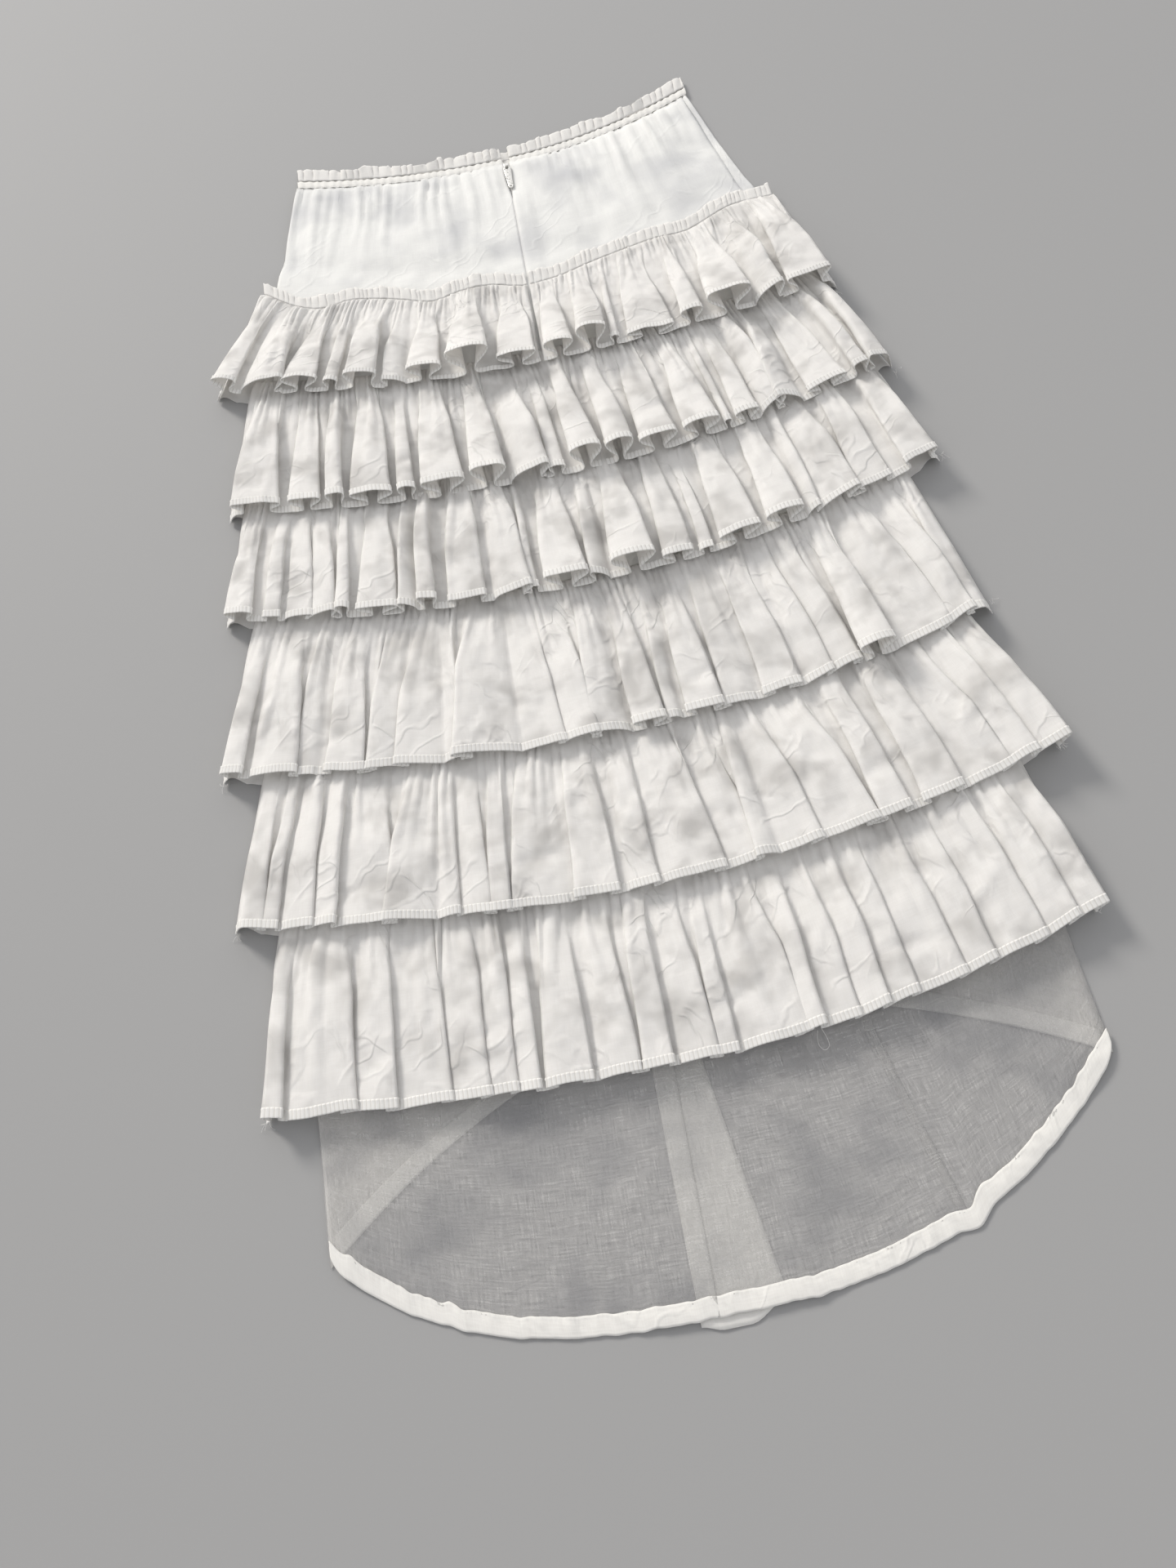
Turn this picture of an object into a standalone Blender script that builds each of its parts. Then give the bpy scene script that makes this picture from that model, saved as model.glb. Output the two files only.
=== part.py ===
"""A tiered skirt of white cotton voile, laid flat on its front, with its back and zip upwards.

Units are metres. +Y runs from the hem to the waist, +X to the right as seen from above, and +Z up.
The origin is on the surface that the skirt lies on, under the middle of its length and width.
Each cloth piece is a grid of points placed by a rule and thickened into a wall.
"""

import math

import bmesh
import bpy

# Cloth wall and the gap that is left between neighbouring pieces
WALL = 0.0010
SEAM_GAP = 0.0003
LAYER = WALL + SEAM_GAP

# Base skirt: a slim tube of voile, pressed flat. Half its width at heights along the skirt
BASE_SIDE = (
    # y, half width
    (0.4500, 0.1620),
    (0.3840, 0.1750),
    (0.3250, 0.1890),
    (0.2830, 0.1960),
    (0.2030, 0.2000),
    (0.1080, 0.2090),
    (0.0000, 0.2110),
    (-0.4000, 0.2145),
)

# Lines across the skirt bow upwards to its sides: y at the middle, and its rise at the left and right ends
WAIST_TOP = {"mid": 0.4240, "left": 0.0240, "right": 0.0360}
FRONT_HEM = {"mid": -0.3000, "left": -0.0900, "right": -0.0640}
BACK_HEM_MID = -0.4500
BACK_HEM_LEFT = {"rise": 0.0600, "power": 3.3}
BACK_HEM_RIGHT = {"rise": 0.0860, "power": 2.4}

# Centre back line, which leans a little, and the opening that the zip leaves at its top
CENTRE_BACK_X = -0.0064
CENTRE_BACK_LEAN = 0.0305
ZIP_OPENING = 0.0026
END_GAP = 0.0012

# Right side seam: at the fold of the yoke, then drifting onto the back below the tiers
SIDE_SEAM = (
    # y, x
    (0.4500, 0.1570),
    (0.2400, 0.1930),
    (-0.0500, 0.1600),
    (-0.3220, 0.0940),
    (-0.4500, 0.1200),
)

# Waistband and the gathered frill that stands above it
FRILL_HEIGHT = 0.0090
FRILL_GAP = 0.0006
BAND_HEIGHT = 0.0075
BAND_WALL = 0.0012
FRILL_WAVES = 26
FRILL_RELIEF = 0.0030

# Heading of the first ruffle: the narrow frill above its gathering seam
HEADING_HEIGHT = 0.0090
HEADING_GAP = 0.0010
HEADING_WAVES = 32
HEADING_RELIEF = 0.0036

# Six gathered ruffles. Seam and hem are bowed lines; tops and hems have half widths to the left and right
TIER_COLUMNS = (
    "seam_mid", "seam_left", "seam_right", "hem_mid", "hem_left", "hem_right",
    "top_half_left", "top_half_right", "hem_half_left", "hem_half_right", "waves", "relief",
)
TIER_ROWS = (
    (0.2720, 0.0500, 0.0340, 0.1850, 0.0380, 0.0180, 0.2010, 0.2010, 0.2430, 0.2220, 14, 0.0120),
    (0.2030, 0.0280, 0.0200, 0.0820, 0.0270, 0.0380, 0.2140, 0.2070, 0.2400, 0.2380, 15, 0.0115),
    (0.1080, 0.0270, 0.0380, -0.0100, 0.0310, 0.0440, 0.2220, 0.2170, 0.2470, 0.2450, 16, 0.0105),
    (0.0000, 0.0310, 0.0440, -0.1220, 0.0270, 0.0380, 0.2220, 0.2170, 0.2560, 0.2400, 18, 0.0090),
    (-0.1040, 0.0270, 0.0380, -0.2230, 0.0270, 0.0370, 0.2220, 0.2180, 0.2540, 0.2480, 20, 0.0075),
    (-0.2060, 0.0270, 0.0370, -0.3250, 0.0160, 0.0400, 0.2210, 0.2190, 0.2430, 0.2330, 22, 0.0060),
)
TIERS = [dict(zip(TIER_COLUMNS, row)) for row in TIER_ROWS]

# Heights of the layers, as the lower face of each wall
BASE_FRONT_Z = 2 * LAYER
RUFFLE_SEAM_Z = 4 * LAYER
FIRST_SEAM_RISE = 0.0013
COVER_LIFT = 0.0049
LAST_HEM_LIFT = 0.0012
GATHER_RELIEF = 0.0013
YOKE_PUFF = 0.0035
YOKE_WAVES = 8
YOKE_WAVE_RELIEF = 0.0008
ZIP_LIFT = 0.0013
ZIP_LIFT_HALF_WIDTH = 0.0320

# Lines across the base skirt that its front and back share, so that the two lie flat together
ZIP_OPEN_BELOW_WAIST = 0.0175
ZIP_SHUT_BELOW_WAIST = 0.0435
YOKE_LOW = 0.0340
YOKE_FOOT = 0.0140
ZIP_FOOT = -0.0380
ZIP_END = -0.0620
TIER_LINES = 3
SLOPE_TOP = 0.0040
SLOPE_FOOT = 0.0300

# Stations down a ruffle, as shares of its depth, and how many points shape one wave
BACK_STATIONS = (
    # depth, share of cover lift, share of relief, height of the side ends above the surface
    (0.00, 0.00, 0.00, 2 * LAYER),
    (0.27, 0.15, 0.10, 2 * LAYER),
    (0.62, 0.75, 0.55, LAYER),
    (1.00, 1.00, 1.00, LAYER),
)
FRONT_STATIONS = (
    # depth, lift over the ruffle above it
    (0.00, LAYER),
    (0.26, LAYER),
    (0.38, 0.0),
    (1.00, 0.0),
)
POINTS_A_WAVE = 4
SIDE_FOLD = (0.0, 0.0015, 0.0050)
FRONT_RUFFLE_COLUMNS = 12
LAST_FRONT_HEM_MID = -0.3140

# Inverted pleat under the centre back of the base skirt
PLEAT_TOP_Y = -0.3170
PLEAT_HEM_Y = -0.4555
PLEAT_REACH = 0.0750
PLEAT_TOP_LEFT = 0.0140
PLEAT_TOP_RIGHT = 0.0140
PLEAT_HEM_LEFT = 0.0110
PLEAT_HEM_RIGHT = 0.0360
PLEAT_CORNER_RISE = 0.0200

# Zip under the centre back edges
ZIP_TOP_Y = 0.4070
TAPE_WIDTH = 0.0110
TAPE_WALL = 0.0007
SLIDER_Y = 0.4040
SLIDER_WIDTH = 0.0040
SLIDER_LENGTH = 0.0090
PULL_BAR_RADIUS = 0.0005
PULL_CLEARANCE = 0.0003
PULL_HEIGHT = 0.0046
PULL_LENGTH = 0.0270
PULL_WIDTH = 0.0062
PULL_TIP_WIDTH = 0.0044
PULL_THICKNESS = 0.0010
BAIL_WALL = 0.0008
BAIL_WIDTH = 0.0012
PULL_EYE_WIDTH = 0.0024
PULL_EYE_LENGTH = 0.0038
PULL_HOLE_RADIUS = 0.0007


def clear_scene():
    for old in list(bpy.data.objects):
        bpy.data.objects.remove(old)


def collection(name):
    made = bpy.data.collections.new(name)
    bpy.context.scene.collection.children.link(made)
    return made


def material(name, colour, roughness, metallic=0.0):
    made = bpy.data.materials.new(name)
    made.use_nodes = True
    shader = made.node_tree.nodes["Principled BSDF"]
    shader.inputs["Base Color"].default_value = (*colour, 1.0)
    shader.inputs["Roughness"].default_value = roughness
    shader.inputs["Metallic"].default_value = metallic
    return made


def read(table, at):
    """Linear reading of a two-column table whose first column falls."""
    if at >= table[0][0]:
        return table[0][1]
    for (high, first), (low, second) in zip(table, table[1:]):
        if at >= low:
            return first + (second - first) * (high - at) / (high - low)
    return table[-1][1]


def ramp(value):
    return min(max(value, 0.0), 1.0)


def smooth_step(value):
    value = ramp(value)
    return value * value * (3 - 2 * value)


def mix(first, second, share):
    return first + (second - first) * share


def half_width(y):
    return read(BASE_SIDE, y)


def bowed(mid, left, right, across):
    """y of a line across the skirt. across is -1 at the left end and 1 at the right."""
    return mid + (left if across < 0 else right) * across * across


def back_hem(across):
    side = BACK_HEM_LEFT if across < 0 else BACK_HEM_RIGHT
    return BACK_HEM_MID + side["rise"] * abs(across) ** side["power"]


def waist_line(across, below=0.0):
    return bowed(WAIST_TOP["mid"], WAIST_TOP["left"], WAIST_TOP["right"], across) - below


def front_hem(across):
    return bowed(FRONT_HEM["mid"], FRONT_HEM["left"], FRONT_HEM["right"], across)


def centre_back(y):
    return CENTRE_BACK_X + CENTRE_BACK_LEAN * y


def opening(y, across=0.0):
    """Half the gap between the two back edges, which open a little at the top of the zip."""
    below = waist_line(across, FRILL_HEIGHT + BAND_HEIGHT) - y
    share = ramp((ZIP_SHUT_BELOW_WAIST - below) / (ZIP_SHUT_BELOW_WAIST - ZIP_OPEN_BELOW_WAIST))
    return SEAM_GAP / 2 + ZIP_OPENING * share


def heading_line(across):
    first = TIERS[0]
    return bowed(first["seam_mid"], first["seam_left"], first["seam_right"], across)


def last_front_hem(across):
    last = TIERS[-1]
    return bowed(LAST_FRONT_HEM_MID, last["hem_left"], last["hem_right"], across)


def base_lines(across, part):
    """Lines down the base skirt: y, share raised by the ruffles beneath, share over the front, share over the zip."""
    waist = waist_line(across, FRILL_HEIGHT + BAND_HEIGHT)
    heading = heading_line(across)
    hem = front_hem(across)
    zip_shut = waist - ZIP_SHUT_BELOW_WAIST
    slope_top = max(last_front_hem(across) - SLOPE_TOP, hem + 0.020)
    slope_foot = max(last_front_hem(across) - SLOPE_FOOT, hem + 0.012)
    low_share = ramp((last_front_hem(across) - hem - 0.034) / 0.050)
    lines = [
        (waist, 0, 1, 1),
        (waist - ZIP_OPEN_BELOW_WAIST, 0, 1, 1),
        (zip_shut, 0, 1, 1),
        (mix(zip_shut, heading + YOKE_LOW, 0.5), 0, 1, 1),
        (heading + YOKE_LOW, 0, 1, 1),
        (heading + YOKE_FOOT, 1, 1, 1),
        (heading + ZIP_FOOT, 1, 1, 1),
    ]
    for step in range(TIER_LINES + 1):
        share = step / (TIER_LINES + 1)
        lines.append((mix(heading + ZIP_END, slope_top, share), 1, 1, 0))
    raised = 1 - low_share
    lines.append((slope_top, 1, 1, 0))
    lines.append((slope_foot, raised, 1, 0))
    if part == "under":
        for above in (0.008, 0.004, 0.0):
            lines.append((hem + above, raised, 1, 0))
        return lines
    past = ramp((hem - back_hem(across)) / 0.060)
    on_front = 1 - smooth_step((past - 0.35) / 0.40)
    lines.append((hem + mix(0.008, -0.018, past), raised, 1, 0))
    lines.append((hem + mix(0.004, -0.044, past), raised * on_front, on_front, 0))
    lines.append((back_hem(across), raised * on_front, on_front, 0))
    return lines


def near_centre(x, y):
    return smooth_step(1.4 - abs(x - centre_back(y)) / ZIP_LIFT_HALF_WIDTH)


def pleat_cover(x, y):
    """1 over the inverted pleat and 0 well clear of it."""
    from_centre = abs(x - centre_back(y) - (PLEAT_HEM_RIGHT - PLEAT_HEM_LEFT) / 2)
    return smooth_step((PLEAT_REACH - from_centre) / 0.030)


def base_point(row, part, x_at):
    """The point on one of the base skirt's lines at x_at(y), as x, across, and the line."""
    y = 0.0
    across = 0.0
    for _ in range(6):
        x = x_at(y)
        across = x / half_width(y)
        line = base_lines(across, part)[row]
        y = line[0]
    return x, across, line


def base_back_height(x, across, line):
    """Lower face of the base back: on the base front where that reaches, else down on the surface."""
    y, raised, over_front, over_zip = line
    over = max(over_front, pleat_cover(x, y))
    yoke = smooth_step((y - heading_line(across) - YOKE_LOW) / 0.024)
    below_waist = smooth_step((waist_line(across, 0.020) - y) / 0.030)
    puff = YOKE_PUFF * (1 - min(across**4, 1)) * yoke * below_waist * (1 - near_centre(x, y))
    return BASE_FRONT_Z * raised + LAYER * over + puff + ZIP_LIFT * near_centre(x, y) * over_zip


def grid_object(name, place, columns, rows, wall, group, finish, even=False):
    """A grid of columns by rows whose points place(column, row) sets, thickened into a wall."""
    sheet = bmesh.new()
    bmesh.ops.create_grid(sheet, x_segments=columns, y_segments=rows, size=0.5)
    for point in sheet.verts:
        column = round((point.co.x + 0.5) * columns)
        row = round((point.co.y + 0.5) * rows)
        point.co = place(column, row)
    mesh = bpy.data.meshes.new(name)
    sheet.to_mesh(mesh)
    sheet.free()
    mesh.materials.append(finish)
    made = bpy.data.objects.new(name, mesh)
    group.objects.link(made)
    thicken = made.modifiers.new("wall", "SOLIDIFY")
    thicken.thickness = wall
    thicken.offset = 1.0
    thicken.use_even_offset = even
    thicken.use_rim = True
    return made


# Base skirt


def build_base_front(group, finish):
    """The front panel lies under, turns over the right fold and meets the back at the side seam."""
    under_columns, fold_columns, wrap_columns = 30, 3, 10
    columns = under_columns + fold_columns + wrap_columns
    rows = len(base_lines(0.0, "under")) - 1
    fold_radius = (LAYER + WALL) / 2

    def place(column, row):
        if column <= under_columns:
            share = column / under_columns
            x, _, line = base_point(
                rows - row, "under", lambda y: mix(-half_width(y), half_width(y) - fold_radius, share))
            return x, line[0], BASE_FRONT_Z * line[1]
        if column < under_columns + fold_columns:
            turn = math.pi * (column - under_columns) / fold_columns
            out = fold_radius * (1 - math.sin(turn))
            x, _, line = base_point(rows - row, "under", lambda y: half_width(y) - out)
            return x, line[0], BASE_FRONT_Z * line[1] + fold_radius * (1 - math.cos(turn))
        share = (column - under_columns - fold_columns) / wrap_columns
        x, across, line = base_point(
            rows - row, "over", lambda y: mix(half_width(y) - fold_radius, side_seam(y) + SEAM_GAP, share))
        return x, line[0], base_back_height(x, across, line) + WALL

    return grid_object("base_front", place, columns, rows, WALL, group, finish)


def side_seam(y):
    return min(read(SIDE_SEAM, y), half_width(y) - 0.005)


def build_base_back(side, group, finish):
    """One back panel, from the centre back line to the left fold or to the right side seam."""
    columns = 16
    rows = len(base_lines(0.0, "over")) - 1

    def place(column, row):
        share = column / columns
        if side == "left":
            x, across, line = base_point(
                rows - row, "over", lambda y: mix(-half_width(y), centre_back(y) - opening(y), share))
        else:
            x, across, line = base_point(
                rows - row, "over", lambda y: mix(centre_back(y) + opening(y), side_seam(y), share))
        y = line[0]
        fade = smooth_step((y - 0.300) / 0.090) * (1 - near_centre(x, y))
        gather = 0.5 + 0.5 * math.cos(math.pi * share * YOKE_WAVES)
        return x, y, base_back_height(x, across, line) + YOKE_WAVE_RELIEF * gather * fade

    return grid_object(f"base_back_{side}", place, columns, rows, WALL, group, finish)


def build_back_pleat(group, finish):
    """The underlay of the inverted pleat at the centre back. Its tip shows below the hem."""
    columns, rows = 4, 6

    def place(column, row):
        down = 1 - row / rows
        share = column / columns
        corner = abs(2 * share - 1) ** 3
        y = mix(PLEAT_TOP_Y, PLEAT_HEM_Y + PLEAT_CORNER_RISE * corner * (share > 0.5), down)
        left = mix(PLEAT_TOP_LEFT, PLEAT_HEM_LEFT, down)
        right = mix(PLEAT_TOP_RIGHT, PLEAT_HEM_RIGHT, down)
        return centre_back(y) + mix(-left, right, share), y, 0.0

    return grid_object("back_pleat", place, columns, rows, WALL, group, finish)


# Waistband and waist frill


def strip_across(part, share):
    """Where a waist strip's share lies across the skirt: the back is cut at the zip, the front is whole."""
    if part == "front":
        return mix(-1, 1, share)
    middle = centre_back(WAIST_TOP["mid"]) / half_width(WAIST_TOP["mid"])
    gap = (ZIP_OPENING + SEAM_GAP) / half_width(WAIST_TOP["mid"])
    if part == "back_left":
        return mix(-1, middle - gap, share)
    return mix(middle + gap, 1, share)


def build_waistband(part, group, finish):
    columns = 16 if part == "front" else 8
    low = 0.0 if part == "front" else BAND_WALL + SEAM_GAP

    def place(column, row):
        across = strip_across(part, column / columns)
        below = mix(FRILL_HEIGHT + BAND_HEIGHT - SEAM_GAP, FRILL_HEIGHT + FRILL_GAP, row)
        y = waist_line(across, below)
        return across * half_width(y), y, low

    return grid_object(f"waistband_{part}", place, columns, 1, BAND_WALL, group, finish)


def build_waist_frill(part, group, finish):
    waves = 0 if part == "front" else FRILL_WAVES // 2
    columns = waves * POINTS_A_WAVE if waves else 16
    low = 0.0 if part == "front" else BAND_WALL + SEAM_GAP

    def place(column, row):
        across = strip_across(part, column / columns)
        y = waist_line(across, mix(FRILL_HEIGHT, 0.0, row))
        wave = 0.5 - 0.5 * math.cos(2 * math.pi * column / POINTS_A_WAVE) if waves else 0.0
        relief = FRILL_RELIEF * mix(0.35, 1.0, row)
        return across * half_width(y), y, low + wave * relief

    return grid_object(f"waist_frill_{part}", place, columns, 1, WALL, group, finish)


# Ruffles


def tier_edges(tier, down):
    left = -mix(tier["top_half_left"], tier["hem_half_left"], down)
    right = mix(tier["top_half_right"], tier["hem_half_right"], down)
    return left, right


def tier_y(tier, across, down):
    seam = bowed(tier["seam_mid"], tier["seam_left"], tier["seam_right"], across)
    hem = bowed(tier["hem_mid"], tier["hem_left"], tier["hem_right"], across)
    return mix(seam, hem, down)


def wave_positions(tier, number):
    """Shares across the ruffle of the points that shape its waves, unevenly spaced as gathers fall."""
    steps = tier["waves"] * POINTS_A_WAVE
    unevenness = 0.28 / tier["waves"]
    shares = []
    for step in range(steps + 1):
        even = step / steps
        drift = math.sin(2 * math.pi * (2.7 * even + 0.37 * number)) * math.sin(math.pi * even)
        shares.append(even + unevenness * drift)
    return shares


def wave_height(number, step):
    """Height of the wave at a point: 0 in a trough and about 1 on a crest, both with flat tops."""
    crest = 1.0 if step % POINTS_A_WAVE in (1, 2) else 0.0
    wave = step // POINTS_A_WAVE
    return crest * (0.80 + 0.20 * math.sin(1.9 * wave + number))


def build_back_ruffle(number, group, finish, part=None):
    """A gathered ruffle on the back. The first one is cut at the centre back, for the zip."""
    tier = TIERS[number - 1]
    shares = wave_positions(tier, number)
    steps = len(shares) - 1
    folds = len(SIDE_FOLD) - 1
    middle_step = steps // 2
    first_step = middle_step if part == "right" else 0
    last_step = middle_step if part == "left" else steps
    left_folds = 0 if part == "right" else folds
    right_folds = 0 if part == "left" else folds
    columns = left_folds + (last_step - first_step) + right_folds
    rows = len(BACK_STATIONS) - 1
    seam_z = RUFFLE_SEAM_Z + (FIRST_SEAM_RISE if number == 1 else 0.0)
    lift = LAST_HEM_LIFT if number == len(TIERS) else COVER_LIFT

    def place(column, row):
        down, cover, fullness, end_z = BACK_STATIONS[rows - row]
        left, right = tier_edges(tier, down)
        inner_left, inner_right = left + SIDE_FOLD[-1], right - SIDE_FOLD[-1]
        full = seam_z + lift * cover
        step = column - left_folds + first_step
        if step < 0:
            inset = SIDE_FOLD[column]
            x, z = left + inset, mix(end_z, full, math.sqrt(inset / SIDE_FOLD[-1]))
        elif step > steps:
            inset = SIDE_FOLD[columns - column]
            x, z = right - inset, mix(end_z, full, math.sqrt(inset / SIDE_FOLD[-1]))
        else:
            relief = mix(GATHER_RELIEF, tier["relief"], fullness)
            middle = centre_back(tier_y(tier, 0, down))
            if part == "left":
                x = mix(inner_left, middle - END_GAP, shares[step] / shares[middle_step])
            elif part == "right":
                x = mix(inner_right, middle + END_GAP, (1 - shares[step]) / (1 - shares[middle_step]))
            else:
                x = mix(inner_left, inner_right, shares[step])
            z = full + relief * wave_height(number, step)
        across = x / (right if x > 0 else -left)
        return x, tier_y(tier, across, down), z

    name = f"ruffle_{number}_back" + (f"_{part}" if part else "")
    return grid_object(name, place, columns, rows, WALL, group, finish, even=True)


def build_front_ruffle(number, group, finish):
    """The same ruffle on the front, pressed flat between the skirt and the surface."""
    tier = dict(TIERS[number - 1])
    rows = len(FRONT_STATIONS) - 1
    if number == len(TIERS):
        tier["hem_mid"] = LAST_FRONT_HEM_MID

    def place(column, row):
        down, lift = FRONT_STATIONS[rows - row]
        left, right = tier_edges(tier, down)
        x = mix(left, right, column / FRONT_RUFFLE_COLUMNS)
        y = tier_y(tier, x / (right if x > 0 else -left), down)
        if number == 1:
            y, lift = y + HEADING_HEIGHT * (down == 0), 0.0
        return x, y, lift

    name = f"ruffle_{number}_front"
    return grid_object(name, place, FRONT_RUFFLE_COLUMNS, rows, WALL, group, finish)


def build_heading(part, group, finish):
    """The narrow frill above the gathering seam of the first ruffle."""
    tier = TIERS[0]
    columns = HEADING_WAVES // 2 * POINTS_A_WAVE
    inset = SIDE_FOLD[-1] / 2

    def place(column, row):
        left, right = tier_edges(tier, 0)
        middle = centre_back(tier["seam_mid"])
        share = column / columns
        if part == "left":
            x = mix(left + inset, middle - END_GAP, share)
        else:
            x = mix(middle + END_GAP, right - inset, share)
        y = tier_y(tier, x / right, 0) + mix(HEADING_GAP, HEADING_HEIGHT, row)
        wave = 0.5 - 0.5 * math.cos(2 * math.pi * column / POINTS_A_WAVE)
        relief = HEADING_RELIEF * mix(0.3, 1.0, row)
        return x, y, RUFFLE_SEAM_Z + FIRST_SEAM_RISE + wave * relief

    return grid_object(f"heading_back_{part}", place, columns, 1, WALL, group, finish)


# Zip


def build_zip_tape(side, group, finish):
    """One zip tape, sewn under a back edge. It follows the base front under it."""
    heading = heading_line(0.0)
    stops = (
        (ZIP_TOP_Y, 0.0),
        (heading + YOKE_LOW, 0.0),
        (heading + YOKE_FOOT, BASE_FRONT_Z),
        (heading + ZIP_FOOT, BASE_FRONT_Z),
    )
    rows = len(stops) - 1
    direction = -1 if side == "left" else 1

    def place(column, row):
        y, low = stops[rows - row]
        near_seam = (column == 0) == (side == "right")
        out = SEAM_GAP / 2 if near_seam else TAPE_WIDTH
        return centre_back(y) + direction * out, y, low + LAYER

    return grid_object(f"zip_tape_{side}", place, 1, rows, TAPE_WALL, group, finish)


def box_object(name, size, centre, group, finish, bevel):
    shape = bmesh.new()
    bmesh.ops.create_cube(shape, size=1.0)
    for point in shape.verts:
        point.co = [point.co[i] * size[i] for i in range(3)]
    mesh = bpy.data.meshes.new(name)
    shape.to_mesh(mesh)
    shape.free()
    mesh.materials.append(finish)
    made = bpy.data.objects.new(name, mesh)
    made.location = centre
    group.objects.link(made)
    if bevel:
        edge = made.modifiers.new("edge", "BEVEL")
        edge.width = bevel
        edge.segments = 2
    return made


def build_slider(group, cutters, finish):
    """The slider: a small body between the back edges, with a bridge that holds the pull's bar."""
    x = centre_back(SLIDER_Y)
    foot = LAYER + TAPE_WALL + SEAM_GAP
    roof = PULL_HEIGHT - PULL_BAR_RADIUS - PULL_CLEARANCE
    body = box_object(
        "zip_slider",
        (SLIDER_WIDTH, SLIDER_LENGTH, roof - foot),
        (x, SLIDER_Y, (foot + roof) / 2),
        group,
        finish,
        0.0004,
    )
    reach = PULL_BAR_RADIUS + PULL_CLEARANCE
    bridge_height = 2 * reach + BAIL_WALL
    bridge = box_object(
        "slider_bridge",
        (BAIL_WIDTH, 2 * (reach + BAIL_WALL), bridge_height + 0.0006),
        (x, SLIDER_Y, PULL_HEIGHT - reach + bridge_height / 2 - 0.0003),
        cutters,
        finish,
        0.0,
    )
    tunnel = box_object(
        "slider_tunnel",
        (3 * BAIL_WIDTH, 2 * reach, 2 * reach),
        (x, SLIDER_Y, PULL_HEIGHT),
        cutters,
        finish,
        0.0,
    )
    for helper, operation in ((bridge, "UNION"), (tunnel, "DIFFERENCE")):
        helper.hide_render = True
        helper.display_type = "WIRE"
        change = body.modifiers.new(helper.name, "BOOLEAN")
        change.operation = operation
        change.object = helper
    return body


def loop_points(centre, width, length, corner, per_corner=3):
    """Points of a rounded rectangle, anticlockwise."""
    points = []
    half_w, half_l = width / 2 - corner, length / 2 - corner
    for quarter, (sx, sy) in enumerate(((1, 1), (-1, 1), (-1, -1), (1, -1))):
        for step in range(per_corner + 1):
            turn = math.pi / 2 * (quarter + step / per_corner)
            points.append((
                centre[0] + sx * half_w + corner * math.cos(turn),
                centre[1] + sy * half_l + corner * math.sin(turn),
            ))
    return points


def build_pull(group, finish):
    """The pull tab: a flat tongue with an eye for the bridge and a small hole at its tip."""
    top = PULL_BAR_RADIUS
    outline = [(x, y) for x, y in loop_points(
        (0.0, top - PULL_LENGTH / 2), PULL_WIDTH, PULL_LENGTH, 0.0012)]
    narrowed = []
    for x, y in outline:
        share = min(max((top - y) / PULL_LENGTH, 0.0), 1.0)
        narrowed.append((x * mix(1.0, PULL_TIP_WIDTH / PULL_WIDTH, share), y))
    eye_centre = (0.0, -PULL_BAR_RADIUS - PULL_EYE_LENGTH / 2)
    eye = loop_points(eye_centre, PULL_EYE_WIDTH, PULL_EYE_LENGTH, 0.0003, 1)
    hole_centre = (0.0, top - PULL_LENGTH + 0.0022)
    hole = loop_points(hole_centre, 2 * PULL_HOLE_RADIUS, 2 * PULL_HOLE_RADIUS, PULL_HOLE_RADIUS * 0.98)
    flat = bpy.data.curves.new("zip_pull", "CURVE")
    flat.dimensions = "2D"
    flat.fill_mode = "BOTH"
    flat.extrude = PULL_THICKNESS / 2
    for ring in (narrowed, eye, hole):
        spline = flat.splines.new("POLY")
        spline.points.add(len(ring) - 1)
        for point, (x, y) in zip(spline.points, ring):
            point.co = (x, y, 0.0, 1.0)
        spline.use_cyclic_u = True
    flat.materials.append(finish)
    made = bpy.data.objects.new("zip_pull", flat)
    made.location = (centre_back(SLIDER_Y), SLIDER_Y, PULL_HEIGHT)
    group.objects.link(made)
    return made


def main():
    clear_scene()
    skirt = collection("tiered_skirt")
    cutters = collection("cutters")
    voile = material("voile", (0.86, 0.85, 0.83), 0.85)
    band = material("band_cloth", (0.88, 0.87, 0.85), 0.85)
    tape = material("zip_tape_cloth", (0.90, 0.90, 0.89), 0.8)
    enamel = material("white_enamel", (0.80, 0.80, 0.78), 0.35, 0.2)

    build_base_front(skirt, voile)
    for side in ("left", "right"):
        build_base_back(side, skirt, voile)
        build_zip_tape(side, skirt, tape)
        build_heading(side, skirt, voile)
        build_back_ruffle(1, skirt, voile, side)
    build_back_pleat(skirt, voile)
    for part in ("front", "back_left", "back_right"):
        build_waistband(part, skirt, band)
        build_waist_frill(part, skirt, voile)
    for number in range(1, len(TIERS) + 1):
        build_front_ruffle(number, skirt, voile)
        if number > 1:
            build_back_ruffle(number, skirt, voile)
    build_slider(skirt, cutters, enamel)
    build_pull(skirt, enamel)


main()
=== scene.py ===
"""A tiered skirt of white cotton voile, laid flat with its back upwards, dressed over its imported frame.

Shapes are worked out in millimetres and placed in metres. +Y runs from the hem to the waist.
"""

import math
import random

import bmesh
import bpy
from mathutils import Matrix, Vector, noise


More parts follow.
